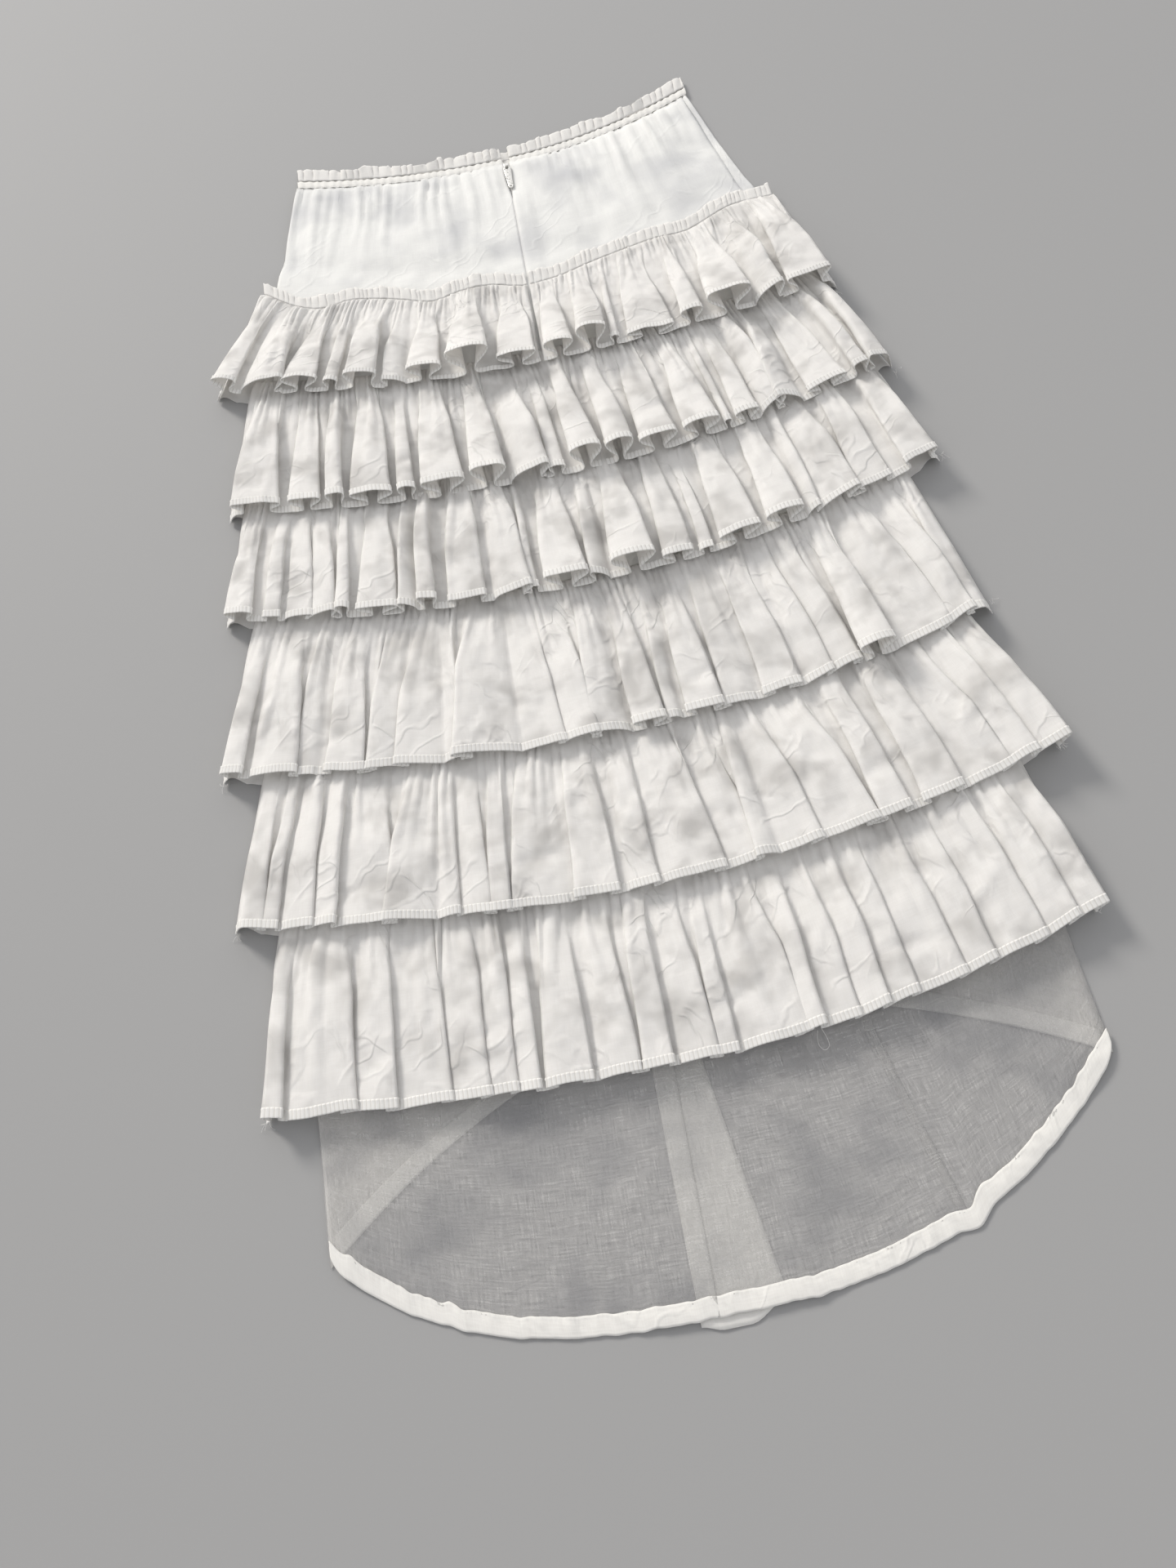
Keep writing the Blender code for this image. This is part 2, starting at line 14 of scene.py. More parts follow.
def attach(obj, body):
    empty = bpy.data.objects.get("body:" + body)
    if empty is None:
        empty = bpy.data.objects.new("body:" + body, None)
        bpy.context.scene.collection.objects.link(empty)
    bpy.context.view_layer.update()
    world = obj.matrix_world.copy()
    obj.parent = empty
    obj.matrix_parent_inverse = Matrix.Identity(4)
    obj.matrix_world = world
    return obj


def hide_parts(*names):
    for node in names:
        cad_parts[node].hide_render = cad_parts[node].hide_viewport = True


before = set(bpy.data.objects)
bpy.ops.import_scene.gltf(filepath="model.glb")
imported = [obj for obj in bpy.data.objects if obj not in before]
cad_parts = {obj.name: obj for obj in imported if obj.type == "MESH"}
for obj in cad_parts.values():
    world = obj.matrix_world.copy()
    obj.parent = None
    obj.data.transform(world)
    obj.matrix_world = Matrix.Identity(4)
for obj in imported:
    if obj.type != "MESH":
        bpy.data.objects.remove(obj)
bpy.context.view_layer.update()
scene = bpy.context.scene

# The camera: held by hand over the hem and tipped towards the waist, and rolled so that the skirt leans
# to the left. Its field of view is a phone's.

MM = 0.001
CAMERA_AT = Vector((-23.5, -450.0, 652.5)) * MM
CAMERA_AIM = Vector((-30.7, -145.8, 0.0)) * MM
CAMERA_ROLL = math.radians(13.2)
CAMERA_LENS = 27.04
SKIRT_TURN = math.radians(1.364)

lens = bpy.data.cameras.new("photo_camera")
lens.lens = CAMERA_LENS
lens.sensor_width = 36.0
lens.sensor_fit = "AUTO"
lens.clip_start = 0.01
camera = bpy.data.objects.new("photo_camera", lens)
ahead = (CAMERA_AIM - CAMERA_AT).normalized()
level = Vector((math.cos(SKIRT_TURN), math.sin(SKIRT_TURN), 0.0))
upward = level.cross(ahead).normalized()
level = ahead.cross(upward).normalized()
right_hand = level * math.cos(CAMERA_ROLL) - upward * math.sin(CAMERA_ROLL)
head = level * math.sin(CAMERA_ROLL) + upward * math.cos(CAMERA_ROLL)
turn = camera.matrix_world.to_3x3()
for axis, direction in enumerate((right_hand, head, -ahead)):
    for row in range(3):
        turn[row][axis] = direction[row]
camera.matrix_world = turn.to_4x4()
camera.location = CAMERA_AT
scene.collection.objects.link(camera)
scene.camera = camera

# The table: a matt painted board under soft studio light. The sun-like key stands beyond the waist and
# comes in low, so each ruffle throws its shadow on the next. A soft window light there brightens the waist.


def linear(hex_colour):
    """An sRGB hex colour as the linear values that a shader takes."""
    channels = [int(hex_colour[i:i + 2], 16) / 255 for i in (1, 3, 5)]
    return [c / 12.92 if c <= 0.04045 else ((c + 0.055) / 1.055) ** 2.4 for c in channels] + [1.0]


def node(tree, kind, inputs=(), **settings):
    """Adds one node with its settings. inputs gives a socket a value or another node's output."""
    made = tree.nodes.new(kind)
    for key, value in settings.items():
        setattr(made, key, value)
    for socket, value in dict(inputs).items():
        if isinstance(value, bpy.types.NodeSocket):
            tree.links.new(value, made.inputs[socket])
        else:
            made.inputs[socket].default_value = value
    return made


def cells(size):
    """The scale of a texture whose cells are this size in mm, on coordinates in metres."""
    return 1.0 / (size * MM)


def blank_material(name):
    made = bpy.data.materials.new(name)
    made.use_nodes = True
    made.node_tree.nodes.clear()
    return made, made.node_tree


STIPPLE_SIZE = 2.222
STIPPLE_DEPTH = 0.5


def painted_board():
    """Matt emulsion on board: an even pale grey with a faint roller stipple."""
    made, tree = blank_material("matt_painted_board")
    place = node(tree, "ShaderNodeTexCoord").outputs["Object"]
    stipple = node(tree, "ShaderNodeTexNoise", {
        "Vector": place, "Scale": cells(STIPPLE_SIZE), "Detail": 2.0})
    relief = node(tree, "ShaderNodeBump", {
        "Strength": 0.04, "Distance": STIPPLE_DEPTH * MM, "Height": stipple.outputs["Fac"]})
    paint = node(tree, "ShaderNodeBsdfPrincipled", {
        "Base Color": linear("#999999"), "Roughness": 0.75, "Normal": relief.outputs["Normal"]})
    node(tree, "ShaderNodeOutputMaterial", {"Surface": paint.outputs["BSDF"]})
    return made


BOARD_HALF_SIZE = 3.0
BOARD_BELOW = 0.0003

board = bmesh.new()
bmesh.ops.create_grid(board, x_segments=2, y_segments=2, size=BOARD_HALF_SIZE)
bmesh.ops.translate(board, verts=board.verts, vec=(0.0, 0.0, -BOARD_BELOW))
board_mesh = bpy.data.meshes.new("table_board")
board.to_mesh(board_mesh)
board.free()
board_mesh.materials.append(painted_board())
table = bpy.data.objects.new("table_board", board_mesh)
scene.collection.objects.link(table)

KEY_AIM = Vector((0.48, -0.78, -0.46))
KEY_SOFTNESS = math.radians(15.0)
KEY_STRENGTH = 2.6
WINDOW_AT = Vector((-0.25, 1.05, 0.95))
WINDOW_AIM = Vector((0.25, -0.85, -0.95))
WINDOW_WIDTH = 1.1
WINDOW_POWER = 2.6
ROOM_STRENGTH = 0.80


def place_light(light, at, aim):
    stand = bpy.data.objects.new(light.name, light)
    stand.location = at
    stand.rotation_euler = aim.to_track_quat("-Z", "Y").to_euler()
    scene.collection.objects.link(stand)


key = bpy.data.lights.new("key_window", "SUN")
key.energy = KEY_STRENGTH
key.angle = KEY_SOFTNESS
key.color = linear("#FFFAF3")[:3]
place_light(key, (0.0, 0.0, 0.0), KEY_AIM)

window = bpy.data.lights.new("soft_window", "AREA")
window.shape = "DISK"
window.size = WINDOW_WIDTH
window.energy = WINDOW_POWER
place_light(window, WINDOW_AT, WINDOW_AIM)

room = bpy.data.worlds.new("pale_room")
room.use_nodes = True
room.node_tree.nodes["Background"].inputs["Color"].default_value = linear("#F4F4F6")
room.node_tree.nodes["Background"].inputs["Strength"].default_value = ROOM_STRENGTH
scene.world = room
scene.view_settings.view_transform = "Standard"

# Base skirt: a slim tube of fine voile that the ruffles are sewn to. One layer is so sheer that the table
# shows grey through it, and that layer's own colour is painted a shaded grey as well. Where the front lies
# under the back the two layers look whiter.

BASE_SIDE = (
    # y, half width
    (450.0, 162.0),
    (384.0, 175.0),
    (325.0, 189.0),
    (283.0, 196.0),
    (203.0, 200.0),
    (108.0, 209.0),
    (0.0, 211.0),
    (-400.0, 214.5),
)
SIDE_SEAM = (
    # y, x
    (450.0, 157.0),
    (240.0, 193.0),
    (-50.0, 160.0),
    (-322.0, 94.0),
    (-450.0, 120.0),
)
HEADING_SEAM = (
    # x, y: the gathering seam of ruffle 1, which dips between its pleats
    (-201.0, 322.0),
    (-188.0, 306.0),
    (-169.0, 293.0),
    (-152.0, 287.0),
    (-138.0, 293.0),
    (-115.0, 288.0),
    (-90.0, 279.0),
    (-72.0, 270.0),
    (-50.0, 277.0),
    (-26.0, 277.0),
    (-3.0, 267.0),
    (28.0, 270.0),
    (50.0, 277.0),
    (77.0, 283.0),
    (104.0, 288.0),
    (128.0, 287.0),
    (143.0, 295.0),
    (166.0, 306.0),
    (201.0, 306.0),
)
SCALLOP_SOFTNESS = 9.0
FRILL_HEIGHT = 9.0
BAND_HEIGHT = 7.5
# How each line bows: its height in the middle, and how far above that its left and right ends are
WAIST_BOW = (424.0, 24.0, 36.0)
HEADING_BOW = (272.0, 50.0, 34.0)
FRONT_HEM_BOW = (-300.0, -90.0, -64.0)
LAST_FRONT_HEM_BOW = (-314.0, 16.0, 40.0)


def ramp(value):
    return min(max(value, 0.0), 1.0)


def ease(value):
    value = ramp(value)
    return value * value * (3 - 2 * value)


def mix(first, second, share):
    return first + (second - first) * share


def read(table, at):
    """Linear reading of a two-column table whose first column falls or rises."""
    step = 1 if table[0][0] < table[-1][0] else -1
    if (at - table[0][0]) * step <= 0:
        return table[0][1]
    for (start, first), (end, second) in zip(table, table[1:]):
        if (end - at) * step >= 0:
            return first + (second - first) * (at - start) / (end - start)
    return table[-1][1]


def ripple(x, y, z=0.0):
    """Smooth noise, from about -1 to 1."""
    return noise.noise(Vector((x, y, z)))


def half_width(y):
    return read(BASE_SIDE, y)


def bowed(middle, left, right, across):
    return middle + (left if across < 0 else right) * across * across


def waist_line(across, below=0.0):
    return bowed(*WAIST_BOW, across) - below


def front_hem(across):
    return bowed(*FRONT_HEM_BOW, across)


HEM_FOOT = -450.0
HEM_RISES = {
    # how far the hem has risen at the side fold, and the power of its curve
    "left": (60.0, 3.3),
    "right": (86.0, 2.4),
}
HEM_DIP = 4.2
HEM_DIP_AT = 0.555
HEM_DIP_WIDTH = 0.035


def hem_sweep(across):
    """The long curve of the back hem, a little uneven, with its small dip right of the middle."""
    rise, power = HEM_RISES["left" if across < 0 else "right"]
    dip = HEM_DIP * math.exp(-((across - HEM_DIP_AT) / HEM_DIP_WIDTH) ** 2)
    uneven = 1.2 * ripple(across * 9, 4.0) + 0.7 * ripple(across * 31, 6.0)
    return HEM_FOOT + rise * abs(across) ** power - dip + uneven


CORNER_SHARE = 0.045
CORNER_RISE = 8.0


def back_hem(across):
    """The sweep, rounded off where it meets each side fold."""
    into = ramp((abs(across) - 1 + CORNER_SHARE) / CORNER_SHARE)
    return hem_sweep(across) + CORNER_RISE * (1 - math.sqrt(1 - into * into))


CENTRE_BACK_AT = -6.4
CENTRE_BACK_LEAN = 0.0305


def centre_back(y):
    """Where the centre back line is. It leans to the right as it goes up."""
    return CENTRE_BACK_AT + CENTRE_BACK_LEAN * y


def heading_seam(x):
    spread = SCALLOP_SOFTNESS
    return (read(HEADING_SEAM, x - spread) + 2 * read(HEADING_SEAM, x) + read(HEADING_SEAM, x + spread)) / 4


def heading_line(across):
    return bowed(*HEADING_BOW, across)


def last_front_hem(across):
    return bowed(*LAST_FRONT_HEM_BOW, across)


FRONT_RUFFLES_LIFT = 2.6


def raised(x, y):
    """How far the front ruffles under the base skirt hold it up."""
    across = x / half_width(y)
    tiers = ease((heading_line(across) + 34.0 - y) / 20.0)
    hem = ease((last_front_hem(across) - 4.0 - y) / 26.0)
    return FRONT_RUFFLES_LIFT * tiers * (1 - hem)


def near_centre(x, y):
    return ease(1.4 - abs(x - centre_back(y)) / 32.0)


CLOSED_GAP = 0.1
OPENED_GAP = 2.5
OPENS_AT = 364.0


def opening(y):
    """Half the gap between the back edges, which open a little at the top of the zip."""
    return CLOSED_GAP + OPENED_GAP * ramp((y - OPENS_AT) / 26.0)


def over_front(x, y):
    """Where the back lies over the front panel or the pleat, which hold it up a little: from 0 to 1."""
    across = x / half_width(y)
    on_front = ease((y - front_hem(across) + 40.0) / 34.0)
    from_pleat = abs(x - centre_back(y) - 12.0)
    on_pleat = ease((62.0 - from_pleat) / 30.0) * ease((-272.0 - y) / 20.0)
    return max(on_front, on_pleat)


YOKE_GATHERS = 44
YOKE_GATHER_HEIGHT = 2.7
YOKE_PUFF = 3.4
PLACKET_PROUD = 1.2
PLACKET_WIDTH = 15.0
PLACKET_TOP = 372.0
PLACKET_FOOT = 262.0
gather_draw = random.Random(14)
YOKE_RIDGES = [
    (gather_draw.uniform(0.1, 1.5), gather_draw.uniform(14.0, 95.0))
    for _ in range(YOKE_GATHERS)
]


def yoke_relief(x, y):
    """Soft gathers that fall from the waistband, with the puff of the cloth under them."""
    across = x / half_width(y)
    below = waist_line(across, FRILL_HEIGHT + BAND_HEIGHT) - y
    above = y - heading_line(across)
    puff = YOKE_PUFF * (1 - min(across**4, 1.0)) * ease((above - 20.0) / 26.0) * ease(below / 34.0)
    at = (across + 1) / 2 * (YOKE_GATHERS - 2) + 0.8 * ripple(across * 7.0, below / 75.0, 1.0) + 1.0
    ridge = min(max(int(at), 0), YOKE_GATHERS - 1)
    high, length = YOKE_RIDGES[ridge]
    swell = math.sin(math.pi * (at - int(at))) ** 0.7
    gathers = YOKE_GATHER_HEIGHT * high * swell * math.exp(-((max(below, 0.0) / length) ** 2))
    broad = 1.1 * ripple(across * 9.0 + 0.003 * below, below / 110.0, 4.0)
    fade = ease((below + 0.6) / 5.5) * ease((above - 4.0) / 22.0)
    sunk = ease((ripple(x / 40.0, y / 50.0, 7.0) - 0.10) / 0.35)
    hollows = -1.8 * sunk * ease(below / 40.0) * ease(above / 26.0)
    under_pull = ease(1.8 - abs(x - centre_back(y)) / 6.0) * ease((y - 366.0) / 10.0)
    clear = (1 - 0.45 * near_centre(x, y)) * (1 - 0.9 * under_pull)
    in_placket = x - centre_back(y)
    placket = PLACKET_PROUD * ease((in_placket - 1.0) / 1.5) * ease((PLACKET_WIDTH - in_placket) / 2.4)
    placket *= ease((PLACKET_TOP - y) / 8.0) * ease((y - PLACKET_FOOT) / 10.0)
    return (puff + (gathers + broad + 0.4) * fade + hollows) * clear + placket


BASE_LEVEL = 0.45
FRONT_PANEL_LIFT = 1.6
ZIP_LIFT = 1.1
ZIP_FOOT = 216.0


def base_back_height(x, y):
    """The height of the back of the base skirt, with its creases and its slack below the ruffles."""
    level_now = raised(x, y) + FRONT_PANEL_LIFT * over_front(x, y) + BASE_LEVEL
    zip_lift = ZIP_LIFT * near_centre(x, y) * ease((y - ZIP_FOOT) / 16.0)
    creases = 0.35 * ripple(x / 30.0, y / 16.0, 3.0) + 0.16 * ripple(x / 9.0, y / 7.0, 5.0)
    to_hem = ease((y - back_hem(x / half_width(y)) - 4.0) / 22.0)
    slack = 1.3 * ease(ripple(x / 52.0, y / 60.0, 9.0) + 0.25) * to_hem + creases * (0.4 + 0.8 * to_hem)
    from_hem = abs(y - back_hem(x / half_width(y)) - 14.0)
    puckers = 1.1 * max(0.0, ripple(x / 9.0, y / 60.0, 11.0)) * (1 - ease(from_hem / 26.0))
    low_panel = ease((-300.0 - y) / 30.0)
    return max(level_now + zip_lift + yoke_relief(x, y) + (slack + puckers) * low_panel, BASE_LEVEL)


CLOTH_THICKNESS = 0.30


def cloth_sheet(name, columns, rows, cut, place, material, thickness=CLOTH_THICKNESS):
    """A grid of cloth whose points place(u, v) sets, in mm, with its cut size as its UV map in metres."""
    sheet = bmesh.new()
    bmesh.ops.create_grid(sheet, x_segments=columns, y_segments=rows, size=0.5)
    sheet.verts.index_update()
    shares = {}
    for point in sheet.verts:
        u = round((point.co.x + 0.5) * columns) / columns
        v = round((point.co.y + 0.5) * rows) / rows
        shares[point.index] = (u, v)
        point.co = Vector(place(u, v)) * MM
    layer = sheet.loops.layers.uv.new("cloth")
    for face in sheet.faces:
        face.smooth = True
        for corner in face.loops:
            u, v = shares[corner.vert.index]
            corner[layer].uv = (u * cut[0] * MM, v * cut[1] * MM)
    mesh = bpy.data.meshes.new(name)
    sheet.to_mesh(mesh)
    sheet.free()
    mesh.materials.append(material)
    made = bpy.data.objects.new(name, mesh)
    scene.collection.objects.link(made)
    wall = made.modifiers.new("thickness", "SOLIDIFY")
    wall.thickness = thickness * MM
    wall.offset = 0.0
    return made


OPEN_WEAVE = 0.10
SLUB_SIZES = (
    # size of the noise cells across and along the cloth: the crossways slubs, then the lengthways ones
    (14.286, 0.909),
    (0.8, 12.5),
)
WEAVE_RANGE = (0.31, 0.67)
WEAVE_DEPTH = 0.3
# Painted shade: how much of the noise becomes grey patches, and how far they darken the cloth
PAINTED_SHADE_RANGE = (0.47, 0.68)
PAINTED_SHADE_DEPTH = 0.8
SWELL_SIZE = 21.74
SWELL_HEIGHT = 4.2
CREASE_ROWS = (
    # the turn of the creases, and where in the noise the areas that have them are read
    (0.62, (0.0, 0.0, 2.0)),
    (-0.95, (0.0, 0.0, 9.0)),
)
CREASE_SIZE = (0.06, 0.015, 1.0)
CREASE_BEND = (0.028, 0.028, 0.0)
CREASE_HALF_WIDTH = 0.08
CREASE_HEIGHT = 0.5
CREASED_SIZE = 50.0
CREASED_RANGE = (0.50, 0.66)


def voile_creases(tree, cloth):
    """Soft swells with sparse bent creases that run two ways, as a height in mm."""
    swells = node(tree, "ShaderNodeTexNoise", {"Vector": cloth, "Scale": cells(SWELL_SIZE), "Detail": 1.5})
    height = node(tree, "ShaderNodeMath", {
        0: swells.outputs["Fac"], 1: SWELL_HEIGHT}, operation="MULTIPLY").outputs[0]
    bent = node(tree, "ShaderNodeVectorMath", {
        0: swells.outputs["Color"], 1: CREASE_BEND, 2: cloth}, operation="MULTIPLY_ADD").outputs[0]
    for turned, area_at in CREASE_ROWS:
        laid = node(tree, "ShaderNodeMapping", {
            "Vector": bent, "Rotation": (0.0, 0.0, turned), "Scale": CREASE_SIZE}, vector_type="TEXTURE")
        wander = node(tree, "ShaderNodeTexNoise", {
            "Vector": laid.outputs["Vector"], "Scale": 1.0, "Detail": 0.0})
        aside = node(tree, "ShaderNodeMath", {0: wander.outputs["Fac"], 1: 0.5}, operation="SUBTRACT")
        off_line = node(tree, "ShaderNodeMath", {0: aside.outputs[0]}, operation="ABSOLUTE")
        fold = node(tree, "ShaderNodeMapRange", {
            "Value": off_line.outputs[0],
            "From Max": CREASE_HALF_WIDTH,
            "To Min": CREASE_HEIGHT,
            "To Max": 0.0,
        }, interpolation_type="SMOOTHSTEP")
        area = node(tree, "ShaderNodeMapping", {"Vector": cloth, "Location": area_at})
        creased = node(tree, "ShaderNodeTexNoise", {
            "Vector": area.outputs["Vector"], "Scale": cells(CREASED_SIZE), "Detail": 0.0})
        share = node(tree, "ShaderNodeMapRange", {
            "Value": creased.outputs["Fac"],
            "From Min": CREASED_RANGE[0],
            "From Max": CREASED_RANGE[1],
        }, interpolation_type="SMOOTHSTEP")
        height = node(tree, "ShaderNodeMath", {
            0: fold.outputs["Result"],
            1: share.outputs["Result"],
            2: height,
        }, operation="MULTIPLY_ADD").outputs[0]
    return height


def cotton_voile(name, light, shade, alpha=1.0, glow=0.0, crumple=0.25, slub=1.0, painted_shade=None):
    """Cotton voile, plain-woven from fine uneven thread: matt, with slubs that run both ways, and creased.

    Its threads are 0.3 mm apart, too fine to show, so the slubs are drawn 0.9 mm wide and 14 mm long. The
    grey patches, given as a grey and the size of its patches, are painted shade: the grey of the shaded gaps
    and hollows that would show faintly through where the cloth doesn't touch what lies under it. Where the
    cloth is sheer, alpha is how much of a layer its threads cover, and it varies with the slubs.
    """
    made, tree = blank_material(name)
    cloth = node(tree, "ShaderNodeUVMap", uv_map="cloth").outputs["UV"]
    slubs = []
    for across, along in SLUB_SIZES:
        stretch = (cells(across * slub), cells(along * slub), 1.0)
        run = node(tree, "ShaderNodeMapping", {"Vector": cloth, "Scale": stretch}).outputs["Vector"]
        slubs.append(node(tree, "ShaderNodeTexNoise", {
            "Vector": run, "Scale": 1.0, "Detail": 2.0, "Roughness": 0.6}).outputs["Fac"])
    both = node(tree, "ShaderNodeMath", {0: slubs[0], 1: slubs[1]}, operation="ADD").outputs[0]
    weave = node(tree, "ShaderNodeMath", {0: both, 1: 0.5}, operation="MULTIPLY").outputs[0]
    slubbed = node(tree, "ShaderNodeMapRange", {
        "Value": weave, "From Min": WEAVE_RANGE[0], "From Max": WEAVE_RANGE[1]}).outputs["Result"]
    tint = node(tree, "ShaderNodeMix", {
        0: slubbed, 6: linear(shade), 7: linear(light)}, data_type="RGBA").outputs[2]
    if alpha < 1.0:
        alpha = node(tree, "ShaderNodeMapRange", {
            "Value": slubbed, "To Min": alpha - OPEN_WEAVE, "To Max": alpha + OPEN_WEAVE}).outputs["Result"]
    # Painted shade: grey patches darken the cloth where shaded gaps and hollows under it would show through
    if painted_shade:
        grey, patch_size = painted_shade
        place = node(tree, "ShaderNodeTexCoord").outputs["Object"]
        shade_patches = node(tree, "ShaderNodeTexNoise", {
            "Vector": place, "Scale": cells(patch_size), "Detail": 2.5, "Roughness": 0.6, "Distortion": 0.3})
        shown = node(tree, "ShaderNodeMapRange", {
            "Value": shade_patches.outputs["Fac"],
            "From Min": PAINTED_SHADE_RANGE[0],
            "From Max": PAINTED_SHADE_RANGE[1],
            "To Max": PAINTED_SHADE_DEPTH,
        })
        tint = node(tree, "ShaderNodeMix", {
            0: shown.outputs["Result"], 6: tint, 7: linear(grey)}, data_type="RGBA").outputs[2]
    threads = node(tree, "ShaderNodeBump", {
        "Strength": 0.25, "Distance": WEAVE_DEPTH * MM, "Height": weave}).outputs["Normal"]
    relief = node(tree, "ShaderNodeBump", {
        "Strength": crumple,
        "Distance": MM,
        "Height": voile_creases(tree, cloth),
        "Normal": threads,
    }).outputs["Normal"]
    surface = node(tree, "ShaderNodeBsdfPrincipled", {
        "Base Color": tint,
        "Roughness": 0.88,
        "Specular IOR Level": 0.25,
        "Sheen Weight": 0.25,
        "Sheen Roughness": 0.6,
        "Alpha": alpha,
        "Normal": relief,
    }).outputs["BSDF"]
    if glow:
        lit = node(tree, "ShaderNodeBsdfTranslucent", {"Color": linear(light), "Normal": relief})
        surface = node(tree, "ShaderNodeMixShader", {
            0: glow, 1: surface, 2: lit.outputs["BSDF"]}).outputs[0]
    node(tree, "ShaderNodeOutputMaterial", {"Surface": surface})
    return made


# Painted shade: the single sheer layer is coloured darker grey than the white voile, as the shade it shows
# over the table, and its grey patches are painted shade too
shaded_sheer_voile = cotton_voile(
    "shaded_sheer_cotton_voile", "#CFCECC", "#A6A5A4", alpha=0.32, crumple=0.6, slub=0.95,
    painted_shade=("#9B9B9D", 52.63))
lower_voile = cotton_voile("lower_cotton_voile", "#F5F3EE", "#E6E4DF", alpha=0.52, crumple=0.4, slub=0.9)
# Painted shade: the yoke's grey patches stand for the shade in the hollows under its gathers
yoke_voile = cotton_voile(
    "gathered_cotton_voile", "#F5F5F2", "#ECECEA", glow=0.25, crumple=0.3, slub=1.1,
    painted_shade=("#C6C7CA", 66.67))
double_voile = cotton_voile("double_cotton_voile", "#F7F6F2", "#EAE8E4", glow=0.25, crumple=0.4)

SEAM_ALLOWANCE = 5.0


def side_seam(y):
    return min(read(SIDE_SEAM, y), half_width(y) - 4.0)


PANEL_WIDTHS = {
    # mean width of the upper length and of the lower length
    "left": (200.0, 190.0),
    "right": (168.0, 125.0),
    "side": (47.0, 93.0),
}
UPPER_LENGTH = 690.0
LOWER_LENGTH = 172.0
UPPER_FOOT = -270.0
LENGTHS_OVERLAP = 0.4
UNDER_BAND = 2.5


def panel_cut(side, upper):
    above, below = PANEL_WIDTHS[side]
    return (above, UPPER_LENGTH) if upper else (below, LOWER_LENGTH)


def back_panel(name, side, upper, material, columns, rows):
    """A length of one back panel: the yoke and tiers, or the sheer part below them."""

    def place(u, v):
        y = 0.0
        for _ in range(5):
            if side == "left":
                x = mix(-half_width(y), centre_back(y) - opening(y) + 0.3, u)
            elif side == "right":
                x = mix(centre_back(y) + opening(y), side_seam(y), u)
            else:
                x = mix(side_seam(y) - SEAM_ALLOWANCE, half_width(y), u)
            across = x / half_width(y)
            top = waist_line(across, FRILL_HEIGHT + BAND_HEIGHT - UNDER_BAND)
            if upper:
                y = mix(UPPER_FOOT, top, v)
            else:
                y = mix(back_hem(across), UPPER_FOOT + LENGTHS_OVERLAP, v)
        z = base_back_height(x, y)
        if side == "left":
            z += 0.45 * ease(1 - (centre_back(y) - x) / 3.0) * ease((-250.0 - y) / 20.0)
        if side == "side":
            z = max(z - 0.55 * ease(1 - (x - side_seam(y)) / 3.0), 0.3)
            z = mix(z, raised(x, y) + 0.4, ease((x - half_width(y) + 2.5) / 2.5) ** 2)
        return x, y, z

    return cloth_sheet(name, columns, rows, panel_cut(side, upper), place, material)


PANEL_LENGTHS = (
    # name, whether it is the upper one, cloth, rows of the mesh
    ("upper", True, yoke_voile, 100),
    ("lower", False, shaded_sheer_voile, 40),
)


def lay_base(name, side, old, columns):
    """Lays one panel as its upper and lower lengths. The upper one replaces the solid old, if given."""
    for length_name, upper, material, rows in PANEL_LENGTHS:
        sheet = back_panel(f"{name}_{length_name}", side, upper, material, columns, rows)
        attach(sheet, "skirt")
        if old and upper:
            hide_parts(old)


lay_base("back_left_panel", "left", "base_back_left", 90)
lay_base("back_right_panel", "right", "base_back_right", 66)
lay_base("front_panel_turned", "side", None, 40)


FRONT_CUT = (424.0, 770.0)
FRONT_LEVEL = 0.35


def front_height(x, y):
    return raised(x, y) + FRONT_LEVEL


def front_panel():
    """The front lies under the back and turns up over the right fold to the side seam."""

    def place(u, v):
        y = 0.0
        for _ in range(5):
            x = mix(-half_width(y), half_width(y) - 0.6, u)
            across = x / half_width(y)
            y = mix(front_hem(across), waist_line(across, FRILL_HEIGHT + BAND_HEIGHT), v)
        return x, y, front_height(x, y)

    made = cloth_sheet("front_panel", 60, 70, FRONT_CUT, place, lower_voile)
    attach(made, "skirt")
    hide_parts("base_front")


front_panel()

# Hems of the base skirt: 10 mm of voile turned up twice and topstitched, so that they look whiter and stand
# a little proud. The front's hem shows through the back as a pale band. The pleat's underlay lies below.

HEM_DEPTH = 10.0
HEM_HALF_WIDTH = 214.0
HEM_THICKNESS = 0.35


def hem_band(name, line, sweep, reach, columns, height, puckers, flat):
    """A turned hem from line(across) up to a line of stitches that keeps its depth from sweep(across)."""

    def place(u, v):
        across = mix(-reach, reach, u)
        x = across * HEM_HALF_WIDTH
        slope = (sweep(across + 0.01) - sweep(across)) / (0.01 * HEM_HALF_WIDTH)
        stitched = sweep(across) + HEM_DEPTH * math.hypot(1.0, slope)
        y = mix(line(across) - 0.2, stitched, v)
        roll = 0.25 * math.sin(math.pi * ramp(v * 1.1))
        pucker = puckers * ripple(across * 42.0 + 3.0 * v, v * 0.8, 8.0) * (0.3 + v)
        stitch = 0.18 * (0.5 - 0.5 * math.cos(math.tau * u * columns / 4)) * (0.80 < v < 0.95)
        return x, y, max(height(x, y) + roll + pucker + 0.22 - stitch, 0.3)

    made = cloth_sheet(name, columns, 8, flat, place, double_voile, thickness=HEM_THICKNESS)
    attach(made, "skirt")


hem_band(
    "back_hem_band", back_hem, hem_sweep, reach=0.999, columns=720, height=base_back_height, puckers=0.35,
    flat=(480.0, HEM_DEPTH))
hem_band(
    "front_hem_band", front_hem, front_hem, reach=0.985, columns=120, height=front_height, puckers=0.1,
    flat=(450.0, HEM_DEPTH))


PLEAT_CUT = (46.0, 138.0)


